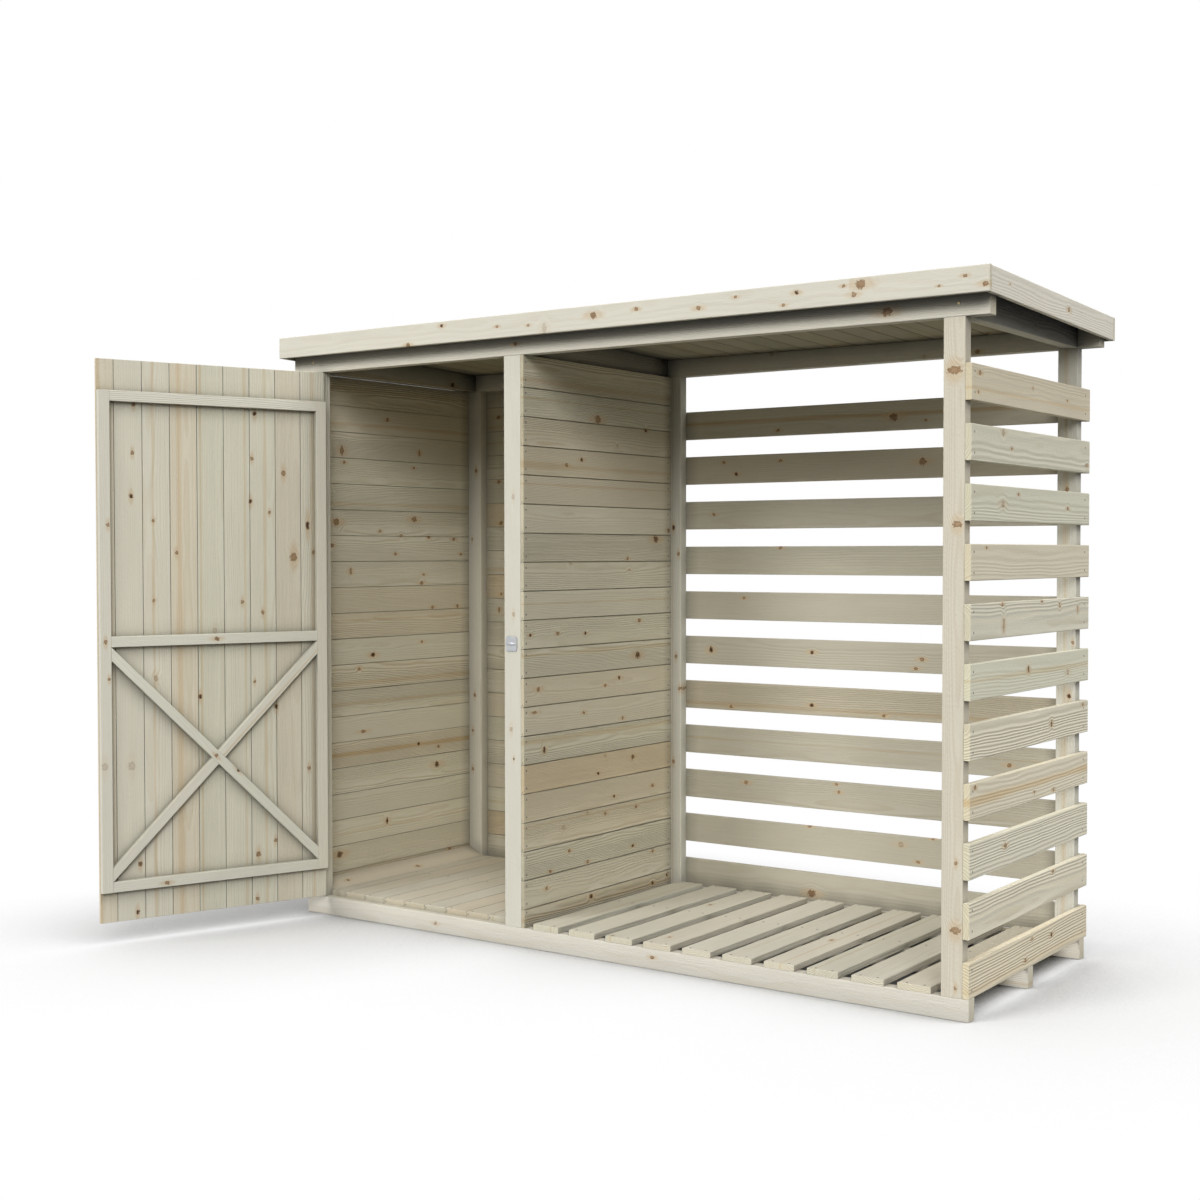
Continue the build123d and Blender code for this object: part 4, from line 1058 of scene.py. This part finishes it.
class LOGSTORE_OT_walls(Operator):
    """Tongued and grooved walls of the cupboard"""
    bl_idname = "log_store.walls"
    bl_label = "Boarded walls"

    def execute(self, context):
        boards = settings("boards")
        low, high = box_of("left_wall_boards")
        self.wall("left_wall_boards", "left_wall_planks", boards.wall_joint, (low[0], low[1], 0), Y_AXIS)
        low, high = box_of("partition_boards")
        self.wall("partition_boards", "partition_planks", boards.wall_joint, (high[0], high[1], 0), -Y_AXIS)
        low, high = box_of("back_wall_boards")
        self.wall("back_wall_boards", "back_wall_planks", boards.back_joint, (low[0], high[1], 0), X_AXIS)
        return {"FINISHED"}

    def wall(self, node, name, joint, corner, along):
        """One wall of level boards, from a lower corner of its vee face along its length."""
        low, high = box_of(node)
        size = high - low
        edges = joints_between(low[2], high[2], joint, settings("boards").pitch)
        timbers = Timbers(name)
        knots = node_knots(node, np.abs(along))
        board_panel(timbers, edges, corner, Z_AXIS, along, size.min(), size[:2].max(), knots=knots,
                    warm=WARM_BOARDS[node], streaks=STREAKS.get(node))
        timbers.build("store", "matchboard", finish_of("wall"), node)


class LOGSTORE_OT_slats(Operator):
    """Spaced slats on the side and the back of the log bay"""
    bl_idname = "log_store.slats"
    bl_label = "Slats"

    def execute(self, context):
        boards = settings("boards")
        for node, run, kind in (("side_slats", 1, "side"), ("back_slats", 0, "bay")):
            low, high = box_of(node)
            pitch = (high[2] - low[2] - boards.slat_width) / (boards.slat_rows - 1)
            knots = node_knots(node, np.eye(3)[run])
            timbers = Timbers(node.replace("slats", "boards"))
            for i in range(boards.slat_rows):
                bottom = low + Z_AXIS * pitch * i
                top = high.copy()
                top[2] = bottom[2] + boards.slat_width
                # Painted light and shade: the slat's lightness changes with its row, lighter low on the side,
                # darker low at the back
                light = PAINTED_LIGHT_BELOW[node] * (1 - i / boards.slat_rows)
                box_timber(timbers, bottom, top, run, knots=knots, streak=STREAKS[node].get(i),
                           tone=(light, WARM_BOARDS[node].get(i, 0.0)))
            timbers.build("store", "planed_board", finish_of(kind), node)
        return {"FINISHED"}


def roof_fall():
    """How much the roof drops for each metre towards the back, read off the front and back fascias' boxes."""
    front, back = box_of("front_fascia"), box_of("back_fascia")
    return (front[1][2] - back[1][2]) / (back[1][1] - front[0][1])


class LOGSTORE_OT_roof(Operator):
    """Roof boards, felt and the fascias round the roof"""
    bl_idname = "log_store.roof"
    bl_label = "Roof"

    def execute(self, context):
        boards = settings("boards")
        fall = roof_fall()
        down = np.array([0, 1, -fall]) / math.hypot(1, fall)
        for node in ("front_fascia", "back_fascia"):
            whole_timber(node, node + "_board", 0, "planed_board", "fascia")
        for node in ("left_fascia", "right_fascia"):
            low, high = box_of(node)
            drop = fall * (high[1] - low[1])
            height = high[2] - low[2] - drop
            x = (low[0] + high[0]) / 2
            start = np.array([x, low[1], high[2] - height / 2])
            end = np.array([x, high[1], low[2] + height / 2])
            across = np.array([0, fall, 1]) / math.hypot(1, fall)
            outline = eased_rectangle(height / math.hypot(1, fall), high[0] - low[0], boards.ease)
            timbers = Timbers(node + "_board")
            timbers.add(start, end, across, outline, mitre=(-fall, -fall), knots=node_knots(node, Y_AXIS),
                        tone=FASCIA_TONES.get(node))
            timbers.build("store", "planed_board", finish_of("fascia"), node)

        low, high = box_of("roof_deck")
        thick = (high[2] - low[2] - fall * (high[1] - low[1])) / math.hypot(1, fall)
        edges = joints_between(low[0], high[0], 0.0, boards.pitch)
        start = np.array([0, high[1], low[2]])
        length = (high[1] - low[1]) * math.hypot(1, fall)
        timbers = Timbers("roof_boards")
        board_panel(timbers, edges, start - down * thick * fall, X_AXIS, -down, thick,
                    length - 2 * thick * fall)
        timbers.build("store", "matchboard", finish_of("roof"), "roof_deck")
        node = frame["nodes"]["roof_felt"]
        node.data.materials.clear()
        node.data.materials.append(finish_of("felt"))
        return {"FINISHED"}


def door_place():
    """The door's own axes at rest: its hinge edge's foot, then along the door, inwards and up."""
    door = settings("door")
    along = np.array([math.cos(door.open_angle), -math.sin(door.open_angle), 0])
    inward = np.array([math.sin(door.open_angle), math.cos(door.open_angle), 0])
    edge = np.array([HINGE[0], HINGE[1], 0]) + along * door.hinge_offset + inward * door.standoff
    return edge, along, inward


def door_knots(piece, outer, inner):
    """The knots of the door's boards or battens, which lie between two depths from its outer face."""
    edge, along, inward = door_place()
    middle = edge + inward * (outer + inner) / 2
    return knots_of(piece, middle, edge + inward * inner, along, steps=(READ_FINE, READ_FINE))


def batten_knots():
    """The knots of the door's ledges, stiles and braces."""
    door = settings("door")
    return door_knots("door_battens", door.boards, door.boards + door.battens)


class LOGSTORE_OT_door(Operator):
    """The ledged and braced door with its stiles"""
    bl_idname = "log_store.door"
    bl_label = "Door"

    def execute(self, context):
        door, boards = settings("door"), settings("boards")
        edge, along, inward = door_place()
        face = edge + inward * (door.boards + door.battens / 2)

        edges = joints_between(0.0, door.width, door.first_joint, boards.pitch)
        timbers = Timbers("door_planks")
        board_panel(timbers, edges, edge + Z_AXIS * door.bottom, along, Z_AXIS, door.boards,
                    door.top - door.bottom, knots=door_knots("door_boards", 0.0, door.boards),
                    streaks=STREAKS["door_boards"])
        timbers.build("door", "matchboard", finish_of("door"), "door_boards")

        frame_low = door.bottom_ledge - door.ledge / 2
        frame_high = door.top_ledge + door.ledge / 2
        ledge_from, ledge_to = door.stile, door.width - door.stile
        stile = eased_rectangle(door.stile, door.battens, BATTEN_EASE)
        ledge = eased_rectangle(door.ledge, door.battens, BATTEN_EASE)

        def at(s, z):
            return face + along * s + Z_AXIS * z

        stiles = {"door_hinge_stile": door.stile / 2, "door_closing_stile": door.width - door.stile / 2}
        for node, s in stiles.items():
            timbers = Timbers(node + "_batten")
            timbers.add(at(s, frame_low), at(s, frame_high), along, stile, knots=batten_knots())
            timbers.build("door", "sawn_softwood", finish_of("batten"), node)
        heights = {"top": frame_high - door.ledge / 2, "middle": door.middle_ledge,
                   "bottom": frame_low + door.ledge / 2}
        for level, z in heights.items():
            timbers = Timbers(f"door_{level}_batten")
            timbers.add(at(ledge_from, z), at(ledge_to, z), Z_AXIS, ledge, knots=batten_knots())
            timbers.build("door", "sawn_softwood", finish_of("batten"), f"door_{level}_ledge")

        low, high = frame_low + door.ledge, door.middle_ledge - door.ledge / 2
        rise = (high - low - door.brace_end) / (ledge_to - ledge_from)
        self.brace("long_brace_batten", at, (ledge_from, low + door.brace_end / 2),
                   (ledge_to, high - door.brace_end / 2), (rise, rise), "door_long_brace")

        # The crossing brace falls as steeply as the long one rises, and is cut along the long one's edges
        middle_s, middle_z = (ledge_from + ledge_to) / 2, (low + high) / 2
        half = door.brace_end / 2 / (2 * rise)
        timbers = Timbers("short_brace_battens")
        cut = (rise * rise - 1) / (2 * rise)
        self.add_brace(timbers, at, (ledge_from, high - door.brace_end / 2),
                       (middle_s - half, middle_z + half * rise), (-rise, cut))
        self.add_brace(timbers, at, (middle_s + half, middle_z - half * rise),
                       (ledge_to, low + door.brace_end / 2), (cut, -rise))
        timbers.build("door", "sawn_softwood", finish_of("batten"), "door_short_braces")
        return {"FINISHED"}

    def add_brace(self, timbers, at, low, high, mitre):
        """A brace between two points of the door, its ends cut on the slant."""
        door = settings("door")
        start, end = at(*low), at(*high)
        run = (end - start) / np.linalg.norm(end - start)
        inward = door_place()[2]
        across = np.cross(inward, run)
        if across[2] < 0:
            across = -across
        slope = (high[1] - low[1]) / (high[0] - low[0])
        width = door.brace_end / math.hypot(1, slope)
        outline = eased_rectangle(width, door.battens, BATTEN_EASE)
        timbers.add(start, end, across, outline, mitre=mitre, knots=batten_knots())

    def brace(self, name, at, low, high, mitre, node):
        """A brace in one piece."""
        timbers = Timbers(name)
        self.add_brace(timbers, at, low, high, mitre)
        timbers.build("door", "sawn_softwood", finish_of("batten"), node)


# Profiles of heads, as shares of their radius and rise
NAIL = ((1.0, -0.6), (1.0, 0.3), (0.8, 0.8), (0.4, 1.0))
SCREW = ((1.0, -0.6), (1.0, 0.4), (0.85, 0.9), (0.40, 0.9), (0.25, 0.1))
# Radius and rise of each kind of head
NAIL_SIZE = (0.0032, 0.0007)
CLOUT_SIZE = (0.0050, 0.0010)
STAPLE_SIZE = (0.0050, 0.0030)
RAIL_SCREW_SIZE = (0.0042, 0.0012)
KEEPER_SCREW_SIZE = (0.0030, 0.0008)
HINGE_SCREW_SIZE = (0.0040, 0.0010)
# Nails: from a board's middle to each nail of a pair, and from the ends of the boards
NAIL_ASIDE = 0.027
SIDE_SLAT_INSET = 0.020
BACK_SLAT_INSET = 0.018
SLAT_FAR_INSET = 0.018
WALL_INSET = 0.012
WALL_FAR_INSET = 0.006
FLOOR_INSET = 0.012
FLOOR_NAIL_ASIDE = 0.022
TOOL_FLOOR_FRONT_INSET = 0.010
TOOL_FLOOR_NAIL_ASIDE = 0.018
FASCIA_NAIL_DEPTH = 0.026
FASCIA_NAIL_PLACES = (-0.420, -0.180, 0.180, 0.430)
CLOUT_INSET = 0.020
CLOUT_SPACING = 0.100
# Screws: where they hold the front rail, how far they sit below its middle, and on the keeper and hinges
RAIL_SCREW_PLACES = (-1.150, -0.305, 1.150)
RAIL_SCREW_DROP = 0.008
KEEPER_SCREW_RISE = 0.0150
STAPLE_STRETCH = (3.6, 1.0)
HINGE_PLATE = 0.0025
FLAP_SCREW_ASIDE = 0.019
FLAP_SCREWS = ((0.0, 0.040), (0.0, -0.040), (-0.009, 0.0))
STRAP_SCREWS = ((0.035, 0.008), (0.050, -0.008), (0.150, 0.0), (0.225, 0.0), (0.290, 0.0))


def heads(name, body, spots, size, profile, material):
    """Nail or screw heads, each at a (place, outward normal) spot or with a (right, up) stretch after them.

    A head turns its profile round its axis in eight steps: out by its first number times the radius, and up
    by its second times the rise, which size gives as (radius, rise). Both ends are closed by one face.
    """
    sides, (radius, rise) = 8, size
    turn = np.arange(sides) * 2 * math.pi / sides
    circle = np.stack([np.cos(turn), np.sin(turn), np.zeros(sides)], 1)
    head = np.concatenate([out * radius * circle + Z_AXIS * up * rise for out, up in profile])
    low = np.arange(len(profile) - 1)[:, None] * sides + np.arange(sides)
    beside = np.arange(len(profile) - 1)[:, None] * sides + (np.arange(sides) + 1) % sides
    faces = np.stack([low, beside, beside + sides, low + sides], 2).reshape(-1, 4).tolist()
    faces += [list(range(sides))[::-1], [len(head) - sides + i for i in range(sides)]]
    points, all_faces = [], []
    for k, (place, normal, *stretch) in enumerate(spots):
        up = X_AXIS if abs(normal[2]) > 0.9 else Z_AXIS
        right = np.cross(up, normal)
        right /= np.linalg.norm(right)
        wide, tall = stretch[0] if stretch else (1.0, 1.0)
        points.append(place + head @ np.stack([right * wide, np.cross(normal, right) * tall, normal]))
        all_faces += [[i + k * len(head) for i in face] for face in faces]
    mesh = bpy.data.meshes.new(name)
    mesh.from_pydata(np.concatenate(points).tolist(), [], all_faces)
    return place_piece(mesh, body, "zinc_plated_steel", material)


class LOGSTORE_OT_metalwork(Operator):
    """Hinges, latch keeper, nails and screws"""
    bl_idname = "log_store.metalwork"
    bl_label = "Hinges, keeper, nails and screws"

    def execute(self, context):
        for node in ("upper_hinge_flap", "lower_hinge_flap", "upper_hinge_strap", "lower_hinge_strap",
                     "latch_keeper"):
            piece = frame["nodes"][node]
            piece.data.materials.clear()
            piece.data.materials.append(finish_of("zinc"))
        nails = [*self.slat_nails(), *self.wall_nails(), *self.floor_nails(), *self.fascia_nails()]
        heads("nail_heads", "store", nails, NAIL_SIZE, NAIL, finish_of("nail"))
        self.clouts()
        low, high = box_of("front_rail")
        ends = [(np.array([x, low[1], (low[2] + high[2]) / 2 - RAIL_SCREW_DROP]), -Y_AXIS)
                for x in RAIL_SCREW_PLACES]
        heads("rail_screws", "store", ends, RAIL_SCREW_SIZE, SCREW, finish_of("brass"))
        self.keeper()
        self.hinge_screws()
        return {"FINISHED"}

    def slat_nails(self):
        """Two nails at each end of every slat."""
        boards = settings("boards")
        for node, run, normal, inset in (("side_slats", 1, X_AXIS, SIDE_SLAT_INSET),
                                         ("back_slats", 0, Y_AXIS, BACK_SLAT_INSET)):
            low, high = box_of(node)
            pitch = (high[2] - low[2] - boards.slat_width) / (boards.slat_rows - 1)
            for i in range(boards.slat_rows):
                middle = low[2] + pitch * i + boards.slat_width / 2
                for along in (low[run] + inset, high[run] - inset - SLAT_FAR_INSET):
                    for up in (-NAIL_ASIDE, NAIL_ASIDE):
                        place = high.copy()
                        place[run], place[2] = along, middle + up
                        yield place, normal

    def wall_nails(self):
        """Two nails a board at each end of the three walls, driven from outside."""
        boards = settings("boards")
        walls = (("left_wall_boards", 1, -X_AXIS, boards.wall_joint),
                 ("partition_boards", 1, X_AXIS, boards.wall_joint),
                 ("back_wall_boards", 0, Y_AXIS, boards.back_joint))
        for node, run, normal, joint in walls:
            low, high = box_of(node)
            edges = joints_between(low[2], high[2], joint, boards.pitch)
            for bottom, top in zip(edges[:-1], edges[1:]):
                reach = min(NAIL_ASIDE, (top - bottom) / 3)
                for along in (low[run] + WALL_INSET, high[run] - WALL_INSET - WALL_FAR_INSET):
                    for up in (-reach, reach):
                        place = np.where(normal > 0, high, low)
                        place[run], place[2] = along, (bottom + top) / 2 + up
                        yield place, normal

    def floor_nails(self):
        """Nails in the floor boards over the front, middle and back bearers."""
        boards = settings("boards")
        low, high = box_of("log_store_floor")
        pitch = (high[0] - low[0] - boards.slat_width) / (boards.floor_slats - 1)
        depths = (low[1] + FLOOR_INSET, 0.0, high[1] - FLOOR_INSET)
        for i in range(boards.floor_slats):
            for y in depths:
                for aside in (FLOOR_NAIL_ASIDE, boards.slat_width - FLOOR_NAIL_ASIDE):
                    yield np.array([low[0] + pitch * i + aside, y, high[2]]), Z_AXIS
        top = high[2]
        low, high = box_of("tool_store_floor")
        edges = joints_between(low[0] + boards.floor_start, high[0], boards.floor_joint, boards.floor_pitch)
        for joint in edges[:-1]:
            for y in (low[1] + TOOL_FLOOR_FRONT_INSET, 0.0, high[1] - FLOOR_INSET):
                yield np.array([joint + TOOL_FLOOR_NAIL_ASIDE, y, top]), Z_AXIS

    def fascia_nails(self):
        """Nails along the side fascias, over the ends of the rails, sunk level with the face."""
        fall = roof_fall()
        for node, side in (("right_fascia", 1.0), ("left_fascia", -1.0)):
            low, high = box_of(node)
            x = high[0] if side > 0 else low[0]
            for y in FASCIA_NAIL_PLACES:
                height = high[2] - FASCIA_NAIL_DEPTH - fall * (y - low[1])
                yield np.array([x - side * NAIL_SIZE[1], y, height]), X_AXIS * side

    def clouts(self):
        """Clout nails round the roof covering, a hand's width apart."""
        low, high = box_of("roof_felt")
        fall, inset, spacing = roof_fall(), CLOUT_INSET, CLOUT_SPACING
        spots = []
        slope = np.array([0, fall, 1]) / math.hypot(1, fall)

        def spot(x, y):
            spots.append((np.array([x, y, high[2] - fall * (y - low[1])]), slope))

        for x in np.arange(low[0] + inset, high[0] - inset / 2, spacing):
            spot(x, low[1] + inset)
            spot(x, high[1] - inset)
        for y in np.arange(low[1] + inset + spacing, high[1] - inset - spacing / 2, spacing):
            spot(low[0] + inset, y)
            spot(high[0] - inset, y)
        heads("felt_clouts", "store", spots, CLOUT_SIZE, NAIL, finish_of("zinc"))

    def keeper(self):
        """The keeper's level staple and its two screws."""
        low, high = box_of("latch_keeper")
        middle = (low + high) / 2
        middle[1] = low[1]
        bar = [(middle, -Y_AXIS, STAPLE_STRETCH)]
        heads("keeper_staple", "store", bar, STAPLE_SIZE, NAIL, finish_of("zinc"))
        screws = [(middle + Z_AXIS * up, -Y_AXIS) for up in (-KEEPER_SCREW_RISE, KEEPER_SCREW_RISE)]
        heads("keeper_screws", "store", screws, KEEPER_SCREW_SIZE, SCREW, finish_of("zinc"))

    def hinge_screws(self):
        """Three screws in each flap and five along each strap."""
        edge, along, inward = door_place()
        for level in ("upper", "lower"):
            low, high = box_of(level + "_hinge_flap")
            middle = (low + high) / 2
            flap_face = box_of("front_left_post")[0][1] - HINGE_PLATE
            spots = [(np.array([low[0] + FLAP_SCREW_ASIDE + aside, flap_face, middle[2] + up]), -Y_AXIS)
                     for aside, up in FLAP_SCREWS]
            heads(level + "_flap_screws", "store", spots, HINGE_SCREW_SIZE, SCREW, finish_of("zinc"))
            low, high = box_of(level + "_hinge_strap")
            face = edge - inward * HINGE_PLATE + Z_AXIS * (low[2] + high[2]) / 2
            spots = [(face + along * s + Z_AXIS * up, -inward) for s, up in STRAP_SCREWS]
            heads(level + "_strap_screws", "door", spots, HINGE_SCREW_SIZE, SCREW, finish_of("zinc"))


class LOGSTORE_OT_stage(Operator):
    """Floor, soft light and camera"""
    bl_idname = "log_store.stage"
    bl_label = "Stage"

    def execute(self, context):
        stage = settings("stage")
        scene = context.scene
        scene.view_settings.view_transform = "Standard"
        self.floor(stage)
        self.world(scene, stage)
        self.lamp("front_right_light", stage.right_light, azimuth=38, elevation=25, spread=30)
        self.lamp("front_left_light", stage.left_light, azimuth=-25, elevation=29, spread=20)
        self.lamp("high_right_light", stage.top_light, azimuth=110, elevation=60, spread=35)
        self.camera(scene, stage)
        return {"FINISHED"}

    def floor(self, stage):
        """A round floor: radius r times (cos a, sin a), with its rings closer near the middle."""
        rings, spokes = 24, 64
        r = np.linspace(0, 1, rings + 1)[1:] ** 2 * stage.floor_radius
        a = np.linspace(0, 2 * math.pi, spokes + 1)[:-1]
        ring = np.stack([np.outer(r, np.cos(a)), np.outer(r, np.sin(a)), np.zeros((len(r), len(a)))], 2)
        points = np.concatenate([np.zeros((1, 3)), ring.reshape(-1, 3)])
        k = np.arange(len(a))
        faces = [[0, 1 + i, 1 + (i + 1) % len(a)] for i in k]
        low = 1 + np.arange(len(r) - 1)[:, None] * len(a) + k
        high = 1 + np.arange(len(r) - 1)[:, None] * len(a) + (k + 1) % len(a)
        faces += np.stack([low, low + len(a), high + len(a), high], 2).reshape(-1, 4).tolist()
        mesh = bpy.data.meshes.new("floor")
        mesh.from_pydata(points.tolist(), [], faces)
        floor = bpy.data.objects.new("floor", mesh)
        bpy.context.scene.collection.objects.link(floor)

        material = bpy.data.materials.new("pale_floor")
        material.use_nodes = True
        tree = material.node_tree
        n = Nodes(tree)
        out = tree.nodes["Material Output"]
        shader = tree.nodes["Principled BSDF"]
        shader.inputs["Roughness"].default_value = 0.9
        shader.inputs["Specular IOR Level"].default_value = 0.0
        # Painted shade on the floor: where the AO finds the store near, the floor's colour is darkened, most
        # under the store, and its white glow fades, a painted contact shadow added to the real shadow that
        # the lamps cast
        open_sky = n.new("ShaderNodeAmbientOcclusion", {"Distance": 0.9}, samples=4).outputs["AO"]
        glow = n.new("ShaderNodeEmission", {"Color": (1, 1, 1, 1), "Strength": 1.0}).outputs[0]
        path = n.new("ShaderNodeLightPath").outputs
        seen = n.math("MAXIMUM", path["Is Camera Ray"],
                      n.math("MAXIMUM", path["Is Glossy Ray"], path["Is Transmission Ray"]))
        share = n.math("MULTIPLY", n.ramp(open_sky, 0.62, 1.0, 0.0, 1.0), seen)
        painted_floor_shade = n.ramp(open_sky, 0.20, 0.60, 0.08, 1.0)
        shaded = n.mix(painted_floor_shade, (0.0, 0.0, 0.0), tuple(stage.floor_colour))
        tree.links.new(n.mix(seen, tuple(stage.floor_bounce), shaded), shader.inputs["Base Color"])
        mixed = n.new("ShaderNodeMixShader", {0: share, 1: shader.outputs[0], 2: glow}).outputs[0]
        tree.links.new(mixed, out.inputs["Surface"])
        mesh.materials.append(material)

    def world(self, scene, stage):
        """Even light from all round, seen as white by the camera and in reflections."""
        world = bpy.data.worlds.new("white_dome")
        scene.world = world
        world.use_nodes = True
        tree = world.node_tree
        n = Nodes(tree)
        background = tree.nodes["Background"]
        background.inputs["Color"].default_value = (1, 1, 1, 1)
        path = n.new("ShaderNodeLightPath").outputs
        seen = n.math("MAXIMUM", path["Is Camera Ray"],
                      n.math("MAXIMUM", path["Is Glossy Ray"], path["Is Transmission Ray"]))
        strength = n.math("ADD", n.math("MULTIPLY", seen, 1.0 - stage.dome), stage.dome)
        tree.links.new(strength, background.inputs["Strength"])

    def lamp(self, name, strength, azimuth, elevation, spread):
        """A broad far light. Its angles are in degrees, and its azimuth goes from the front to the right."""
        data = bpy.data.lights.new(name, "SUN")
        data.angle = math.radians(spread)
        data.energy = strength
        lamp = bpy.data.objects.new(name, data)
        bpy.context.scene.collection.objects.link(lamp)
        turn, rise = math.radians(azimuth), math.radians(elevation)
        towards = Vector((math.cos(rise) * math.sin(turn), -math.cos(rise) * math.cos(turn), math.sin(rise)))
        lamp.location = towards * 8
        lamp.rotation_euler = (-towards).to_track_quat("-Z", "Y").to_euler()

    def camera(self, scene, stage):
        """The photograph's camera: its place, its turn, tilt and roll, and its lens."""
        data = bpy.data.cameras.new("camera")
        data.sensor_width = SENSOR_WIDTH
        data.lens = stage.lens
        data.clip_end = 200.0
        camera = bpy.data.objects.new("camera", data)
        scene.collection.objects.link(camera)
        right, up, forward = camera_axes(stage)
        turned = Matrix(np.stack([right, up, -forward], 1).tolist()).to_4x4()
        camera.matrix_world = Matrix.Translation(stage.camera_place) @ turned
        scene.camera = camera


STEPS = (LOGSTORE_OT_base, LOGSTORE_OT_posts, LOGSTORE_OT_rails, LOGSTORE_OT_walls, LOGSTORE_OT_slats,
         LOGSTORE_OT_roof, LOGSTORE_OT_door, LOGSTORE_OT_metalwork, LOGSTORE_OT_stage)


class LOGSTORE_PT_panel(Panel):
    """Lists the sizes, colours and building steps in the sidebar"""
    bl_label = "Log Store"
    bl_idname = "LOGSTORE_PT_panel"
    bl_space_type = "VIEW_3D"
    bl_region_type = "UI"
    bl_category = "Log Store"

    def draw(self, context):
        for name, group in SETTINGS.items():
            box = self.layout.box()
            box.label(text=name.capitalize())
            values = getattr(context.scene, "log_store_" + name)
            for key in group.__annotations__:
                box.prop(values, key)
        for step in STEPS:
            self.layout.operator(step.bl_idname)


def register():
    """Registers the classes and the settings on the scene."""
    for group in SETTINGS.values():
        bpy.utils.register_class(group)
    for cls in (*STEPS, LOGSTORE_PT_panel):
        bpy.utils.register_class(cls)
    for name, group in SETTINGS.items():
        setattr(bpy.types.Scene, "log_store_" + name, PointerProperty(type=group))


def unregister():
    """Takes the settings and the classes away again."""
    for name in SETTINGS:
        delattr(bpy.types.Scene, "log_store_" + name)
    for cls in (LOGSTORE_PT_panel, *reversed(STEPS), *SETTINGS.values()):
        bpy.utils.unregister_class(cls)


def main():
    """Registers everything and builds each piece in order."""
    register()
    for make in (knot_group, growth_ring_group, fibre_group, planing_group):
        make()
    for step in STEPS:
        name = step.bl_idname.split(".")[1]
        if getattr(bpy.ops.log_store, name)() != {"FINISHED"}:
            raise RuntimeError("the step " + name + " could not finish")


if __name__ == "__main__":
    main()
